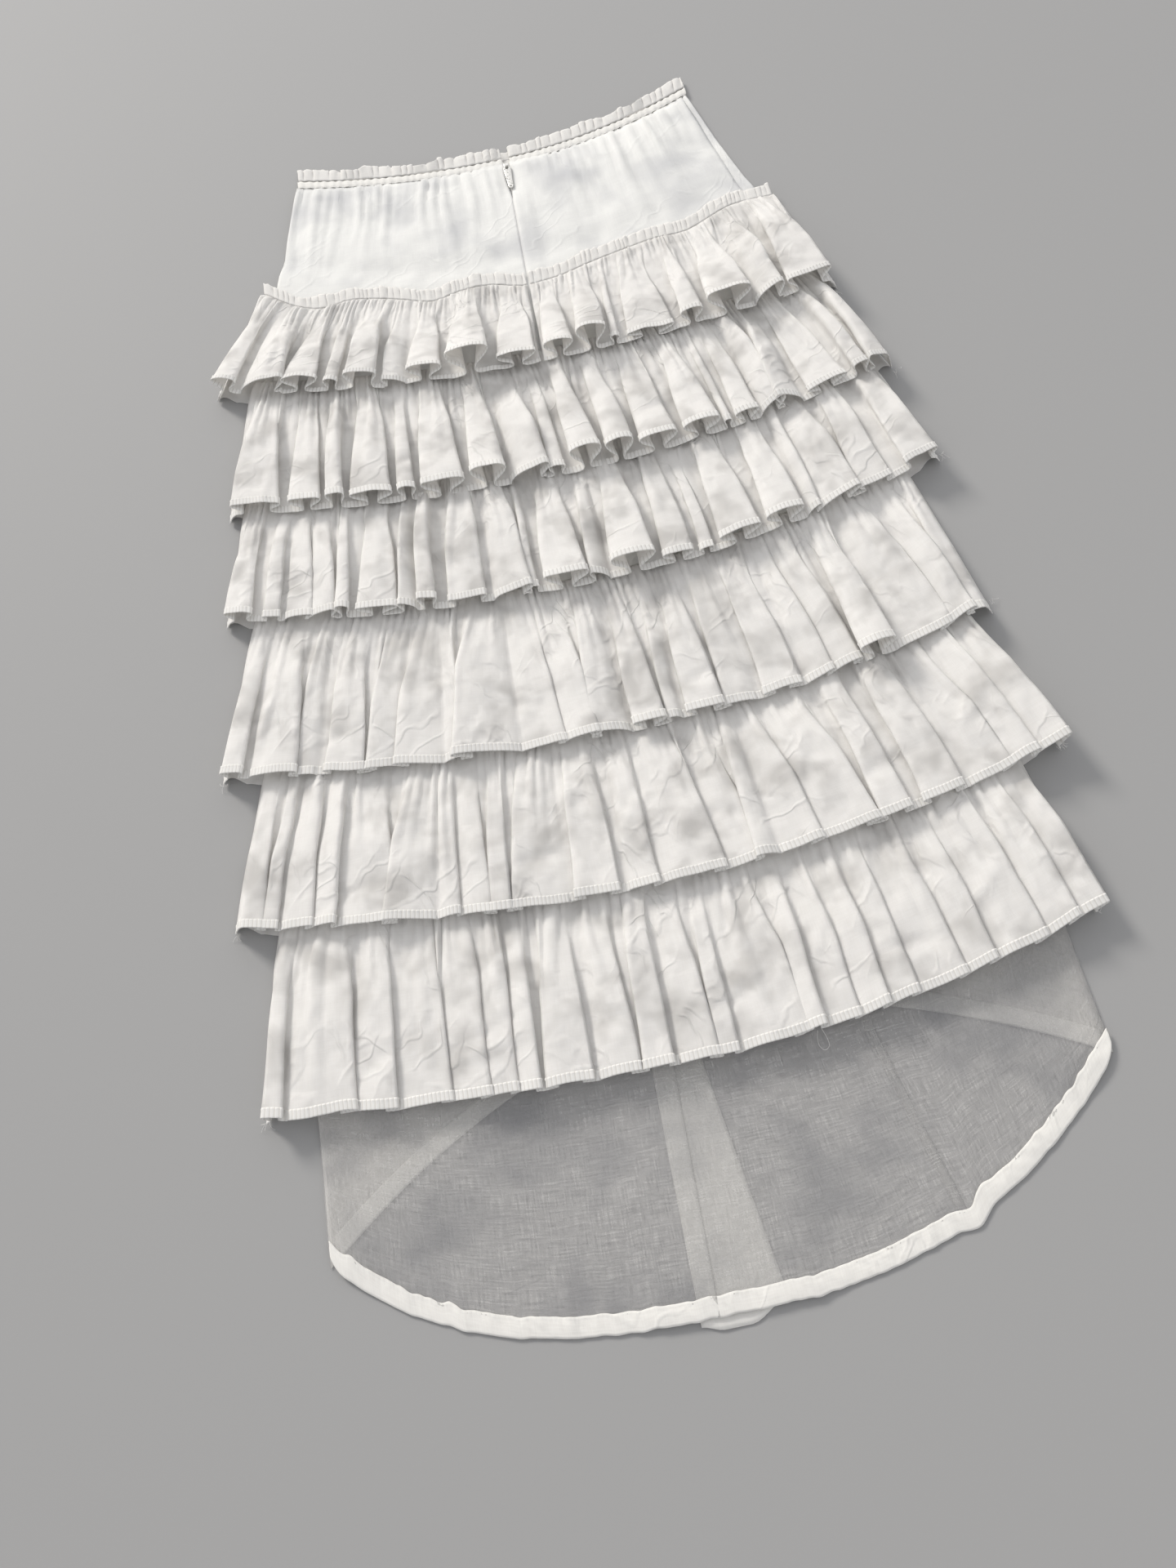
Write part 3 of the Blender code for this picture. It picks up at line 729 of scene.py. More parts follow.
def pleat_underlay():
    """The inverted pleat under the centre back, whose corner shows below the hem."""

    def place(u, v):
        y = mix(-456.0 + 9.0 * ease((u - 0.55) / 0.45) + 3.0 * ease((0.25 - u) / 0.25), -318.0, v)
        x = centre_back(y) + mix(mix(-10.0, 36.0, u), mix(-12.0, 15.0, u), v)
        return x, y, 0.5 + 0.2 * math.sin(u * 9.0)

    return cloth_sheet("pleat_underlay", 16, 40, PLEAT_CUT, place, double_voile)


underlay = pleat_underlay()
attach(underlay, "skirt")
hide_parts("back_pleat")

# Ruffles: strips of voile, gathered along the top edge and sewn on one below the other, and overlocked
# along the hem. The upper three stand in round flutes with open mouths. The lower three are pressed flat.

TIER_COLUMNS = (
    "name", "seam", "seam_left", "seam_right", "hem", "hem_left", "hem_right", "whole",
    "top_from", "top_to", "hem_from", "hem_to",
    "folds", "height", "flutes", "boxes", "rightward", "retreat", "lift", "seed",
)
TIER_ROWS = (
    ("1_left", 272, 50, 34, 185, 38, 18, 201, -201, 0.7, -243, -2.0, 9, 11.5, 0.55, 0.25, 0.6, 0.45, 5.2, 3),
    ("1_right", 272, 50, 34, 185, 38, 18, 201, 3.1, 201, 0.4, 222, 8, 11.5, 0.55, 0.25, 0.6, 0.45, 5.2, 8),
    ("2", 203, 28, 20, 82, 27, 38, 210, -214, 207, -240, 238, 20, 11.0, 0.45, 0.25, 0.6, 0.40, 5.4, 11),
    ("3", 108, 27, 38, -10, 31, 44, 218, -222, 217, -247, 245, 22, 9.5, 0.30, 0.30, 0.6, 0.35, 5.6, 21),
    ("4", 0, 31, 44, -122, 27, 38, 218, -222, 217, -256, 240, 22, 7.0, 0.08, 0.27, 0.7, 0.22, 5.6, 31),
    ("5", -104, 27, 38, -223, 27, 37, 218, -222, 218, -254, 248, 22, 6.4, 0.0, 0.22, 0.8, 0.18, 5.6, 42),
    ("6", -206, 27, 37, -325, 16, 40, 220, -221, 219, -243, 233, 22, 6.2, 0.0, 0.18, 0.85, 0.15, 3.8, 55),
)
TIERS = {row[0]: dict(zip(TIER_COLUMNS, row)) for row in TIER_ROWS}

# The flutes that stand out in the photo: where each is at the hem, how wide, and how high
STANDOUT_COLUMNS = ("at", "wide", "high")
STANDOUTS = {
    "1_left": ((-177, 30, 11), (-84, 34, 11), (-58, 26, 19), (-22, 26, 10)),
    "1_right": ((12, 20, 12), (41, 32, 17), (140, 38, 17)),
    "2": ((-182, 26, 9), (-136, 34, 10), (-90, 26, 12), (-54, 28, 16), (14, 26, 17), (37, 22, 16),
          (95, 30, 12)),
    "3": ((-143, 32, 7), (-17, 34, 12), (28, 34, 15), (97, 28, 10), (131, 30, 12)),
    "4": ((17, 30, 8), (160, 26, 15)),
    "5": (),
    "6": (),
}

# How the cloth of one fold runs, seen from the hem: share of its cloth, of its width, and of its height
PROFILES = {
    # a round flute, whose lobes nearly meet at its neck
    "flute": (
        (0.00, 0.00, 0.00),
        (0.12, 0.20, 0.00),
        (0.20, 0.36, 0.08),
        (0.26, 0.35, 0.30),
        (0.33, 0.15, 0.62),
        (0.41, 0.13, 0.88),
        (0.50, 0.48, 1.03),
        (0.59, 0.86, 0.92),
        (0.67, 0.88, 0.62),
        (0.74, 0.66, 0.30),
        (0.80, 0.63, 0.08),
        (0.88, 0.80, 0.00),
        (1.00, 1.00, 0.00),
    ),
    # a fold pressed over to one side, whose far edge lies on the next
    "knife": (
        (0.00, 0.00, 0.15),
        (0.12, 0.14, 0.40),
        (0.35, 0.46, 0.72),
        (0.60, 0.95, 0.99),
        (0.67, 1.13, 0.98),
        (0.72, 1.17, 0.74),
        (0.78, 1.00, 0.42),
        (0.85, 0.84, 0.20),
        (0.92, 0.88, 0.12),
        (1.00, 1.00, 0.15),
    ),
    # a flat-topped pleat between two recesses
    "box": (
        (0.00, 0.00, 0.00),
        (0.12, 0.16, 0.01),
        (0.19, 0.29, 0.08),
        (0.25, 0.28, 0.36),
        (0.30, 0.13, 0.70),
        (0.36, 0.15, 0.91),
        (0.50, 0.50, 1.00),
        (0.64, 0.88, 0.95),
        (0.70, 0.90, 0.70),
        (0.76, 0.74, 0.34),
        (0.81, 0.72, 0.08),
        (0.88, 0.84, 0.01),
        (1.00, 1.00, 0.00),
    ),
}
CURVE_STEPS = 60
COVER = ((0.0, 0.0), (0.27, 0.15), (0.62, 0.75), (1.0, 1.0))
SEAM_LEVEL = 5.3
FIRST_SEAM_LEVEL = 6.6
HEM_EDGE_SETTLE = 9.0
GATHER_PITCH = 10.5
GATHER_HEIGHT = 2.4
CREASE_ARCH = 3.0
STANDOUT_FIRMNESS = 1.15
NEIGHBOUR_WIDTH = 8.0
HIGHEST_FOLD = 0.75
SWAY = 3.0
CORNER_TOP_LEVEL = 2.9
CORNER_LEVEL = 1.5


def smooth_profile(profile, mirrored):
    """The profile as (across, up) pairs, smoothed through its points."""
    rows = PROFILES[profile]
    if mirrored:
        rows = tuple((1 - cloth, 1 - across, up) for cloth, across, up in reversed(rows))
    slopes = []
    for i in range(len(rows)):
        before, after = rows[max(i - 1, 0)], rows[min(i + 1, len(rows) - 1)]
        slopes.append([(after[k] - before[k]) / (after[0] - before[0]) for k in (1, 2)])
    curve = []
    segment = 0
    for step in range(CURVE_STEPS + 1):
        share = step / CURVE_STEPS
        while segment < len(rows) - 2 and share > rows[segment + 1][0]:
            segment += 1
        start, end = rows[segment], rows[segment + 1]
        size = end[0] - start[0]
        s = ramp((share - start[0]) / size)
        pair = []
        for k in (1, 2):
            near, far = slopes[segment][k - 1] * size, slopes[segment + 1][k - 1] * size
            pair.append((2 * s**3 - 3 * s**2 + 1) * start[k] + (s**3 - 2 * s**2 + s) * near
                        + (3 * s**2 - 2 * s**3) * end[k] + (s**3 - s**2) * far)
        curve.append(pair)
    return curve


def fold_curve(fold, wide):
    """The fold's profile at its own size, as evenly spaced (across, up) pairs, and its length in mm."""
    rough = smooth_profile(fold["kind"], fold["mirrored"])
    run = [0.0]
    for (x0, z0), (x1, z1) in zip(rough, rough[1:]):
        run.append(run[-1] + math.hypot((x1 - x0) * wide, (z1 - z0) * fold["high"]))
    even = []
    segment = 0
    for step in range(CURVE_STEPS + 1):
        target = run[-1] * step / CURVE_STEPS
        while segment < CURVE_STEPS - 1 and run[segment + 1] < target:
            segment += 1
        part = ramp((target - run[segment]) / (run[segment + 1] - run[segment]))
        even.append([mix(a, b, part) for a, b in zip(rough[segment], rough[segment + 1])])
    return even, run[-1]


def plan_folds(tier):
    """Each fold's place at the hem and its share of the cloth, uneven in kind, width and height."""
    draw = random.Random(tier["seed"])
    folds = []
    for _ in range(tier["folds"]):
        chance = draw.random()
        kind = "knife"
        if chance < tier["flutes"]:
            kind = "flute"
        elif chance < tier["flutes"] + tier["boxes"]:
            kind = "box"
        folds.append({
            "kind": kind,
            "mirrored": draw.random() > tier["rightward"],
            "wide": draw.uniform(0.35, 1.3) ** 1.3 + 0.25,
            "high": tier["height"] * draw.uniform(0.45, 1.15),
            "firm": draw.uniform(0.75, 1.15),
            "starts": draw.uniform(-0.10, 0.12),
            "speed": draw.uniform(0.8, 1.3),
        })
    total = sum(fold["wide"] for fold in folds)
    at = tier["hem_from"]
    edges = [at]
    for fold in folds:
        at += fold["wide"] / total * (tier["hem_to"] - tier["hem_from"])
        edges.append(at)
    for row in STANDOUTS[tier["name"]]:
        flute = dict(zip(STANDOUT_COLUMNS, row))
        middles = [(a + b) / 2 for a, b in zip(edges, edges[1:])]
        nearest = min(range(len(middles)), key=lambda i: abs(middles[i] - flute["at"]))
        low = edges[nearest - 1] + NEIGHBOUR_WIDTH if nearest > 0 else edges[0]
        high = edges[nearest + 2] - NEIGHBOUR_WIDTH if nearest + 2 < len(edges) else edges[-1]
        if nearest > 0:
            edges[nearest] = max(low, flute["at"] - flute["wide"] / 2)
        if nearest + 1 < len(edges) - 1:
            edges[nearest + 1] = min(high, flute["at"] + flute["wide"] / 2)
        folds[nearest]["kind"] = "flute"
        folds[nearest]["high"] = flute["high"]
        folds[nearest]["firm"] = STANDOUT_FIRMNESS
    cloth = 0.0
    for fold, start, end in zip(folds, edges, edges[1:]):
        fold["from"], fold["to"] = start, end
        fold["high"] = min(fold["high"], HIGHEST_FOLD * (end - start))
        fold["curve"], length = fold_curve(fold, end - start)
        fold["cloth_from"] = cloth
        cloth += length
        fold["cloth_to"] = cloth
    for fold in folds:
        fold["cloth_from"] /= cloth
        fold["cloth_to"] /= cloth
    tier["fold_list"] = folds
    tier["cloth"] = cloth
    ridges = int(cloth / GATHER_PITCH) + 3
    tier["ridges"] = [
        (draw.uniform(0.25, 1.5), draw.uniform(0.08, 0.8) ** 1.9 + 0.09)
        for _ in range(ridges)
    ]
    return tier


def seam_y(tier, x):
    if tier["name"].startswith("1"):
        return heading_seam(x)
    return bowed(tier["seam"], tier["seam_left"], tier["seam_right"], x / tier["whole"])


def hem_y(tier, x):
    whole = max(-tier["hem_from"], tier["hem_to"])
    uneven = 1.6 * ripple(x / 26.0, tier["seed"])
    return bowed(tier["hem"], tier["hem_left"], tier["hem_right"], x / whole) + uneven


def fold_at(tier, u):
    for fold in tier["fold_list"]:
        if u <= fold["cloth_to"]:
            return fold
    return tier["fold_list"][-1]


def gather_ridges(tier, u, t):
    """Round ridges with sharp valleys that run down from the seam, each with its own height and length."""
    at = u * tier["cloth"] / GATHER_PITCH + 1.1 * ripple(u * 23.0, t * 1.2, tier["seed"]) + 1.5
    ridge = int(at)
    high, length = tier["ridges"][min(ridge, len(tier["ridges"]) - 1)]
    swell = math.sin(math.pi * (at - ridge)) ** 0.7
    return GATHER_HEIGHT * high * swell * ease(t / 0.03) * math.exp(-((t / length) ** 1.5))


# The main creases pressed into the ruffles: where the middle of each is, which way it runs in degrees, its
# length, its width, and its height, which is less than 0 in a trough
CREASE_COLUMNS = ("x", "y", "way", "long", "wide", "high")
CREASES = {
    "1_left": ((-196, 236, 60, 42, 6, 1.1), (-128, 226, -20, 30, 5, -0.8), (-38, 214, 75, 38, 6, 1.0)),
    "1_right": ((66, 214, 10, 34, 6, -0.9), (112, 232, 55, 44, 6, 1.1), (176, 228, 35, 40, 7, -1.0)),
    "2": ((-205, 128, 70, 54, 7, 1.2), (-108, 118, 25, 36, 6, -1.0), (-22, 122, -35, 40, 6, 1.0),
          (66, 118, 20, 46, 7, -1.1), (148, 138, 60, 58, 7, 1.2), (205, 140, -30, 34, 6, -0.9)),
    "3": ((-190, 40, 15, 40, 7, -1.1), (-122, 44, 80, 50, 7, 1.0), (-62, 22, -25, 38, 6, -0.9),
          (2, 34, 40, 44, 7, 1.1), (70, 40, -10, 36, 6, -1.0), (160, 46, 65, 60, 8, 1.3),
          (214, 50, 20, 38, 7, -1.0)),
    "4": ((-222, -58, 65, 56, 8, 1.3), (-176, -84, 10, 44, 7, -1.2), (-116, -70, 40, 46, 7, 1.2),
          (-58, -88, -15, 40, 6, -1.0), (8, -72, 60, 52, 7, 1.2), (52, -96, 15, 50, 7, -1.3),
          (104, -66, -40, 40, 6, 1.1), (170, -54, 30, 54, 8, -1.2), (212, -70, 75, 48, 7, 1.1)),
    "5": ((-226, -160, 55, 60, 8, 1.3), (-184, -190, 20, 42, 7, -1.2), (-128, -176, -30, 38, 6, 1.0),
          (-70, -192, 10, 48, 7, -1.2), (-12, -178, 50, 54, 7, 1.2), (48, -188, -20, 42, 7, -1.1),
          (96, -164, 70, 50, 7, 1.2), (150, -176, 15, 52, 8, -1.3), (206, -150, 45, 58, 8, 1.2)),
    "6": ((-214, -262, 60, 52, 8, 1.2), (-176, -290, 35, 44, 7, -1.2), (-118, -296, 12, 62, 6, 1.3),
          (-104, -282, 18, 48, 6, -1.2), (-40, -284, -30, 40, 7, 1.0), (24, -296, 20, 46, 7, -1.2),
          (78, -272, 60, 52, 7, 1.2), (122, -286, 5, 50, 7, -1.3), (176, -262, 40, 48, 8, 1.2)),
}


def aimed(row):
    """A crease with its direction as a cosine and a sine."""
    crease = dict(zip(CREASE_COLUMNS, row))
    way = math.radians(crease["way"])
    return crease | {"cos": math.cos(way), "sin": math.sin(way)}


PRESSED = {name: [aimed(row) for row in rows] for name, rows in CREASES.items()}


def pressed(name, x, y):
    """The height of the creases at a point: each a soft ridge or trough that bends and tapers out."""
    total = 0.0
    for crease in PRESSED[name]:
        dx, dy = x - crease["x"], y - crease["y"]
        along = (dx * crease["cos"] + dy * crease["sin"]) / (0.5 * crease["long"])
        if abs(along) < 1.0:
            off_line = dy * crease["cos"] - dx * crease["sin"] + CREASE_ARCH * along * along
            aside = off_line / (0.5 * crease["wide"])
            total += crease["high"] * (1 - along * along) * math.exp(-aside * aside)
    return total


def ruffle_point(tier, u, t):
    """A point of a back ruffle, in mm: u runs along its cloth from the left and t down from its seam."""
    fold = fold_at(tier, u)
    p = ramp((u - fold["cloth_from"]) / (fold["cloth_to"] - fold["cloth_from"]))
    step = min(int(p * CURVE_STEPS), CURVE_STEPS - 1)
    part = p * CURVE_STEPS - step
    across = mix(fold["curve"][step][0], fold["curve"][step + 1][0], part)
    up = mix(fold["curve"][step][1], fold["curve"][step + 1][1], part)
    wide = fold["to"] - fold["from"]
    top_x = mix(tier["top_from"], tier["top_to"], u)
    formed = ramp((t - fold["starts"]) / 0.5) * fold["firm"]
    hem_x = fold["from"] + wide * mix(p, across, formed)
    sway = SWAY * ripple(u * 12.0, t * 1.6, tier["seed"]) * math.sin(math.pi * ramp(t))
    x = mix(top_x, hem_x, ramp(t) ** 0.75) + sway

    if fold["kind"] == "flute":
        growth = ramp(t) ** fold["speed"]
    else:
        growth = ease((t - fold["starts"]) / 0.5) * (1 - 0.15 * t)
    rise = fold["high"] * up * growth

    retreat = tier["retreat"] * fold["high"] * up * ramp(t) ** 2
    y = mix(seam_y(tier, top_x), hem_y(tier, x), t) + retreat

    seed = tier["seed"]
    crumple = 1.2 * ripple(x / 15.0, y / 24.0, seed + 1.5) + 0.3 * ripple(x / 8.0, y / 11.0, seed + 2.5)
    crumple += pressed(tier["name"], x, y)
    level_now = FIRST_SEAM_LEVEL if tier["name"].startswith("1") else SEAM_LEVEL
    z = level_now + tier["lift"] * read(COVER, t) + gather_ridges(tier, u, t) + rise
    z += crumple * ease(t / 0.3)

    settle = 1.0
    if tier["name"] != "1_right":
        settle = min(settle, u * tier["cloth"] / HEM_EDGE_SETTLE)
    if tier["name"] != "1_left":
        settle = min(settle, (1 - u) * tier["cloth"] / HEM_EDGE_SETTLE)
    end_z = mix(CORNER_TOP_LEVEL, CORNER_LEVEL, ease((t - 0.3) / 0.2))
    z = mix(end_z, z, math.sin(math.pi / 2 * ramp(settle)))
    return x, y, z


def edge_frame(tier, u, t):
    """A point of the ruffle and the way its face looks there."""
    step = 0.6 / tier["cloth"]
    here = Vector(ruffle_point(tier, u, t))
    beside = Vector(ruffle_point(tier, u + step, t) if u < 0.5 else ruffle_point(tier, u - step, t))
    along = beside - here if u < 0.5 else here - beside
    face = along.cross(Vector(ruffle_point(tier, u, t - 0.01)) - here)
    return here, face.normalized()


# Painted shade: the ruffles' grey patches stand for the shaded layers seen through them
ruffle_voile = cotton_voile(
    "ruffle_cotton_voile", "#FAF9F7", "#F0EEEB", glow=0.42, crumple=0.75, painted_shade=("#CBC9C6", 27.78))

STITCH_PITCH = 2.5
FUZZ_SIZE = 0.4
FUZZ_DEPTH = 0.2


def overlock_cotton():
    """Spun cotton overlock thread: bright upright stitches over a paler turned edge, with painted shade
    darkening the gaps between them.
    """
    made, tree = blank_material("overlock_cotton_thread")
    cloth = node(tree, "ShaderNodeUVMap", uv_map="cloth").outputs["UV"]
    along = node(tree, "ShaderNodeSeparateXYZ", {"Vector": cloth}).outputs["X"]
    turns = node(tree, "ShaderNodeMath", {0: along, 1: math.tau * cells(STITCH_PITCH)}, operation="MULTIPLY")
    beat = node(tree, "ShaderNodeMath", {0: turns.outputs[0]}, operation="COSINE").outputs[0]
    # Painted shade: the thread is darkened in the gaps between the stitches, once in each stitch pitch
    stitch_gap_shade = node(tree, "ShaderNodeMapRange", {
        "Value": beat, "From Min": 0.35, "From Max": 1.0, "To Max": 0.6}).outputs["Result"]
    tint = node(tree, "ShaderNodeMix", {
        0: stitch_gap_shade, 6: linear("#F9F8F5"), 7: linear("#D3D0CA")}, data_type="RGBA").outputs[2]
    fuzz = node(tree, "ShaderNodeTexNoise", {"Vector": cloth, "Scale": cells(FUZZ_SIZE), "Detail": 2.0})
    relief = node(tree, "ShaderNodeBump", {
        "Strength": 0.3, "Distance": FUZZ_DEPTH * MM, "Height": fuzz.outputs["Fac"]})
    thread = node(tree, "ShaderNodeBsdfPrincipled", {
        "Base Color": tint, "Roughness": 0.8, "Sheen Weight": 0.2, "Normal": relief.outputs["Normal"]})
    lit = node(tree, "ShaderNodeBsdfTranslucent", {"Color": tint})
    surface = node(tree, "ShaderNodeMixShader", {0: 0.28, 1: thread.outputs["BSDF"], 2: lit.outputs["BSDF"]})
    node(tree, "ShaderNodeOutputMaterial", {"Surface": surface.outputs[0]})
    return made


overlock_thread = overlock_cotton()
RUFFLE_DEPTH = 119.0
OVERLOCK_DEPTH = 5.4
OVERLOCK_CUT_DEPTH = 12.0
COLUMNS_A_STITCH = 4
BAND_ROWS = (
    # share of the band down from its needle line, height off the cloth, share of stitch relief
    (0.00, 0.10, 0.0),
    (0.07, 0.26, 1.8),
    (0.20, 0.24, 1.6),
    (0.30, 0.22, 0.4),
    (0.92, 0.24, 0.6),
    (1.03, 0.06, 0.5),
    (1.03, -0.12, 0.5),
    (0.60, -0.34, 0.5),
    (0.00, -0.20, 0.0),
)


def overlock_band(tier):
    """The overlocked edge: a row of upright stitches over the raw edge, closed by a needle line."""
    stitches = round(tier["cloth"] / STITCH_PITCH)
    columns = stitches * COLUMNS_A_STITCH
    rows = len(BAND_ROWS) - 1
    depth = OVERLOCK_DEPTH / RUFFLE_DEPTH
    upper = [edge_frame(tier, column / columns, 1.0 - depth) for column in range(columns + 1)]
    lower = [edge_frame(tier, column / columns, 1.0) for column in range(columns + 1)]

    def place(u, v):
        down, out, share = BAND_ROWS[round((1 - v) * rows)]
        column = round(u * columns)
        relief = (0.0, 0.20, 0.26, 0.16)[column % COLUMNS_A_STITCH] * share
        out += relief if out > 0 else -relief
        high, low = upper[column], lower[column]
        return high[0].lerp(low[0], down) + high[1].lerp(low[1], down) * out

    cut = (tier["cloth"], OVERLOCK_CUT_DEPTH)
    made = cloth_sheet(f"overlock_{tier['name']}", columns, rows, cut, place, overlock_thread)
    made.modifiers.clear()
    return made


RUFFLE_STEP = 2.0
RUFFLE_ROWS = 40


def back_ruffle(name, old):
    tier = plan_folds(TIERS[name])
    columns = int(tier["cloth"] / RUFFLE_STEP)
    strip = (tier["cloth"], RUFFLE_DEPTH)

    def place(u, v):
        return ruffle_point(tier, u, 1 - v)

    made = cloth_sheet(f"ruffle_{name}", columns, RUFFLE_ROWS, strip, place, ruffle_voile)
    edge = overlock_band(tier)
    for piece in (made, edge):
        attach(piece, "skirt")
    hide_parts(old)


for name, old in (
    ("6", "ruffle_6_back"),
    ("5", "ruffle_5_back"),
    ("4", "ruffle_4_back"),
    ("3", "ruffle_3_back"),
    ("2", "ruffle_2_back"),
    ("1_left", "ruffle_1_back_left"),
    ("1_right", "ruffle_1_back_right"),
):
    back_ruffle(name, old)

# Front ruffles: the same six strips on the side that faces the table, pressed flat by the weight above.
# Only their edges and corners show, past the ends of the back ruffles.

FRONT_COLUMNS = 200
FRONT_ROWS = 9
FRONT_CUT_LENGTH = 720.0


def front_strip(number):
    """The front ruffle's lines, which are the back's. Ruffle 1 is whole here, and ruffle 6 is shorter."""
    if number == 1:
        right_part = TIERS["1_right"]
        return TIERS["1_left"] | {"top_to": right_part["top_to"], "hem_to": right_part["hem_to"]}
    return TIERS[str(number)] | ({"hem": LAST_FRONT_HEM_BOW[0]} if number == 6 else {})


def front_ruffle(number):
    strip = front_strip(number)

    def place(u, v):
        t = 1 - v
        start, end = mix(strip["top_from"], strip["hem_from"], t), mix(strip["top_to"], strip["hem_to"], t)
        x = mix(mix(strip["top_from"], strip["top_to"], u), mix(strip["hem_from"], strip["hem_to"], u), t)
        across = x / (end if x > 0 else -start)
        seam = bowed(strip["seam"], strip["seam_left"], strip["seam_right"], across)
        hem = bowed(strip["hem"], strip["hem_left"], strip["hem_right"], across)
        corner = ease((abs(across) - 0.90) / 0.10)
        lobe = abs(math.sin(math.pi * u * 33.0)) * corner
        hem += 3.5 * lobe + 3.0 * corner
        lift = 1.3 * (1 - ease((t - 0.28) / 0.10)) if number > 1 else 0.0
        wave = 0.22 * (0.5 + 0.5 * math.sin(u * 150.0 + 3.0 * ripple(u * 12.0, number)))
        return x, mix(seam, hem, t), 0.3 + lift + wave + 1.0 * lobe * t

    made = cloth_sheet(
        f"front_ruffle_{number}", FRONT_COLUMNS, FRONT_ROWS, (FRONT_CUT_LENGTH, RUFFLE_DEPTH), place,
        ruffle_voile)
    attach(made, "skirt")
    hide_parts(f"ruffle_{number}_front")


for number in range(1, 7):
    front_ruffle(number)

# Frills: the cloth above the two gathering seams, left as narrow edges that stand up in tiny tight curls.
# One heads ruffle 1. The other stands above the waistband, with a raw frayed edge.

FRILL_ROWS = 8
FRILL_FULLNESS = 1.2
COLUMNS_A_CURL = 12
frill_voile = cotton_voile("frill_cotton_voile", "#F3F2EF", "#E6E4E1", glow=0.3, crumple=0.3)
raw_edge = []


def frill(name, old, x_from, x_to, seed, seam, height, level_now, pitch, relief, droop, flop):
    """A narrow gathered edge above seam(x). Its free edge droops, and flop turns stretches of it over."""
    length = abs(x_to - x_from)
    curls = length / pitch
    columns = int(curls * COLUMNS_A_CURL)

    def place(u, v):
        drift = 1.3 * ripple(u * curls * 0.35, seed) + 0.45 * ripple(u * curls * 1.1, seed + 1.0)
        angle = 2 * math.pi * (u * curls + drift)
        size = 0.8 + 0.8 * ripple(u * curls * 0.5, seed + 4.0)
        swell = abs(math.sin(angle / 2)) ** 0.8
        x = mix(x_from, x_to, u) - 0.14 * pitch * math.sin(angle) * v
        x += 0.6 * ripple(u * curls, v * 2, seed) * v
        uneven = 0.30 * ripple(u * curls * 0.3, seed + 7.0) + 0.14 * ripple(u * curls * 2.1, seed + 9.0)
        tall = height * (0.95 + uneven)
        over = flop * ease((ripple(u * length / 30.0, seed + 2.0) + 0.05) / 0.5) * v
        turned = 1.9 * over
        reach = tall * v * (1 - 0.42 * over * over)
        rise = 1.7 * math.sin(turned)
        y = seam(x) + 0.4 + reach * (1 - 0.05 * swell)
        z = level_now + (0.2 + 0.8 * v) * relief * swell * size - droop * v * v + rise
        if v == 1 and flop:
            y += 0.5 * ripple(u * curls * 7.0, seed)
            raw_edge.append((x, y, z))
        return x, y, z

    cut = length * FRILL_FULLNESS
    made = cloth_sheet(name, columns, FRILL_ROWS, (cut, height), place, frill_voile)
    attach(made, "skirt")
    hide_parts(old)


HEADING = {
    "seam": heading_seam,
    "height": 12.5,
    "level_now": FIRST_SEAM_LEVEL - 0.2,
    "pitch": 5.2,
    "relief": 2.2,
    "droop": 0.3,
    "flop": 0.0,
}
frill("heading_left", "heading_back_left", -199.0, 0.7, 61.0, **HEADING)
frill("heading_right", "heading_back_right", 3.1, 199.0, 67.0, **HEADING)


WAIST_HALF_WIDTH = 158.0


def waist_seam(x):
    return waist_line(x / WAIST_HALF_WIDTH, FRILL_HEIGHT)


WAIST_EDGE = {
    "seam": waist_seam,
    "height": 13.0,
    "level_now": 2.7,
    "pitch": 7.6,
    "relief": 3.0,
    "droop": 0.9,
    "flop": 1.0,
}
UNDER_EDGE = WAIST_EDGE | {
    "height": 9.5,
    "level_now": 0.35,
    "pitch": 9.0,
    "relief": 0.8,
    "droop": 0.0,
    "flop": 0.0,
}
frill("waist_frill_left", "waist_frill_back_left", -163.0, 3.6, 71.0, **WAIST_EDGE)
frill("waist_frill_right", "waist_frill_back_right", 9.4, 163.0, 77.0, **WAIST_EDGE)
frill("waist_frill_under", "waist_frill_front", -163.0, 163.0, 83.0, **UNDER_EDGE)

# Waistband: the top of the skirt, of the same voile, folded double into a narrow casing. It is gathered
# small and stitched along both edges.

CASING_STEP = 1.1
CASING_ROWS = 15
CASING_SHOWN_HEIGHT = 8.0
CASING_HALF_WIDTH = 159.0
CASING_THICKNESS = 0.4


def waistband(name, old, x_from, x_to, level_now):
    columns = int(abs(x_to - x_from) / CASING_STEP)

    def place(u, v):
        x = mix(x_from, x_to, u)
        y = waist_line(x / CASING_HALF_WIDTH, mix(FRILL_HEIGHT + BAND_HEIGHT, FRILL_HEIGHT, v))
        y += 0.5 * ripple(x / 9.0, 3.0 + 2.0 * v)
        puckers = 0.34 * math.sin(x * 1.05 + 3.0 * ripple(x / 14.0, 2.0)) * (0.6 + 0.8 * abs(v - 0.5))
        seam_dip = 0.25 * max(math.exp(-((v - 0.12) / 0.05) ** 2), math.exp(-((v - 0.90) / 0.05) ** 2))
        round_top = 0.50 * math.sin(math.pi * v) ** 0.4 - seam_dip
        return x, y, level_now + puckers + round_top

    length = abs(x_to - x_from)
    made = cloth_sheet(
        name, columns, CASING_ROWS, (length, CASING_SHOWN_HEIGHT), place, double_voile, CASING_THICKNESS)
    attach(made, "skirt")
    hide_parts(old)


waistband("waist_casing_left", "waistband_back_left", -164.0, 3.6, 2.6)
waistband("waist_casing_right", "waistband_back_right", 9.4, 163.0, 2.6)
waistband("waist_casing_under", "waistband_front", -164.0, 163.0, 0.5)

# Loose threads: the raw top edge of the waist frill has frayed, and a few overlock tails hang from the
# corners of the ruffles and from the hem of the last one.

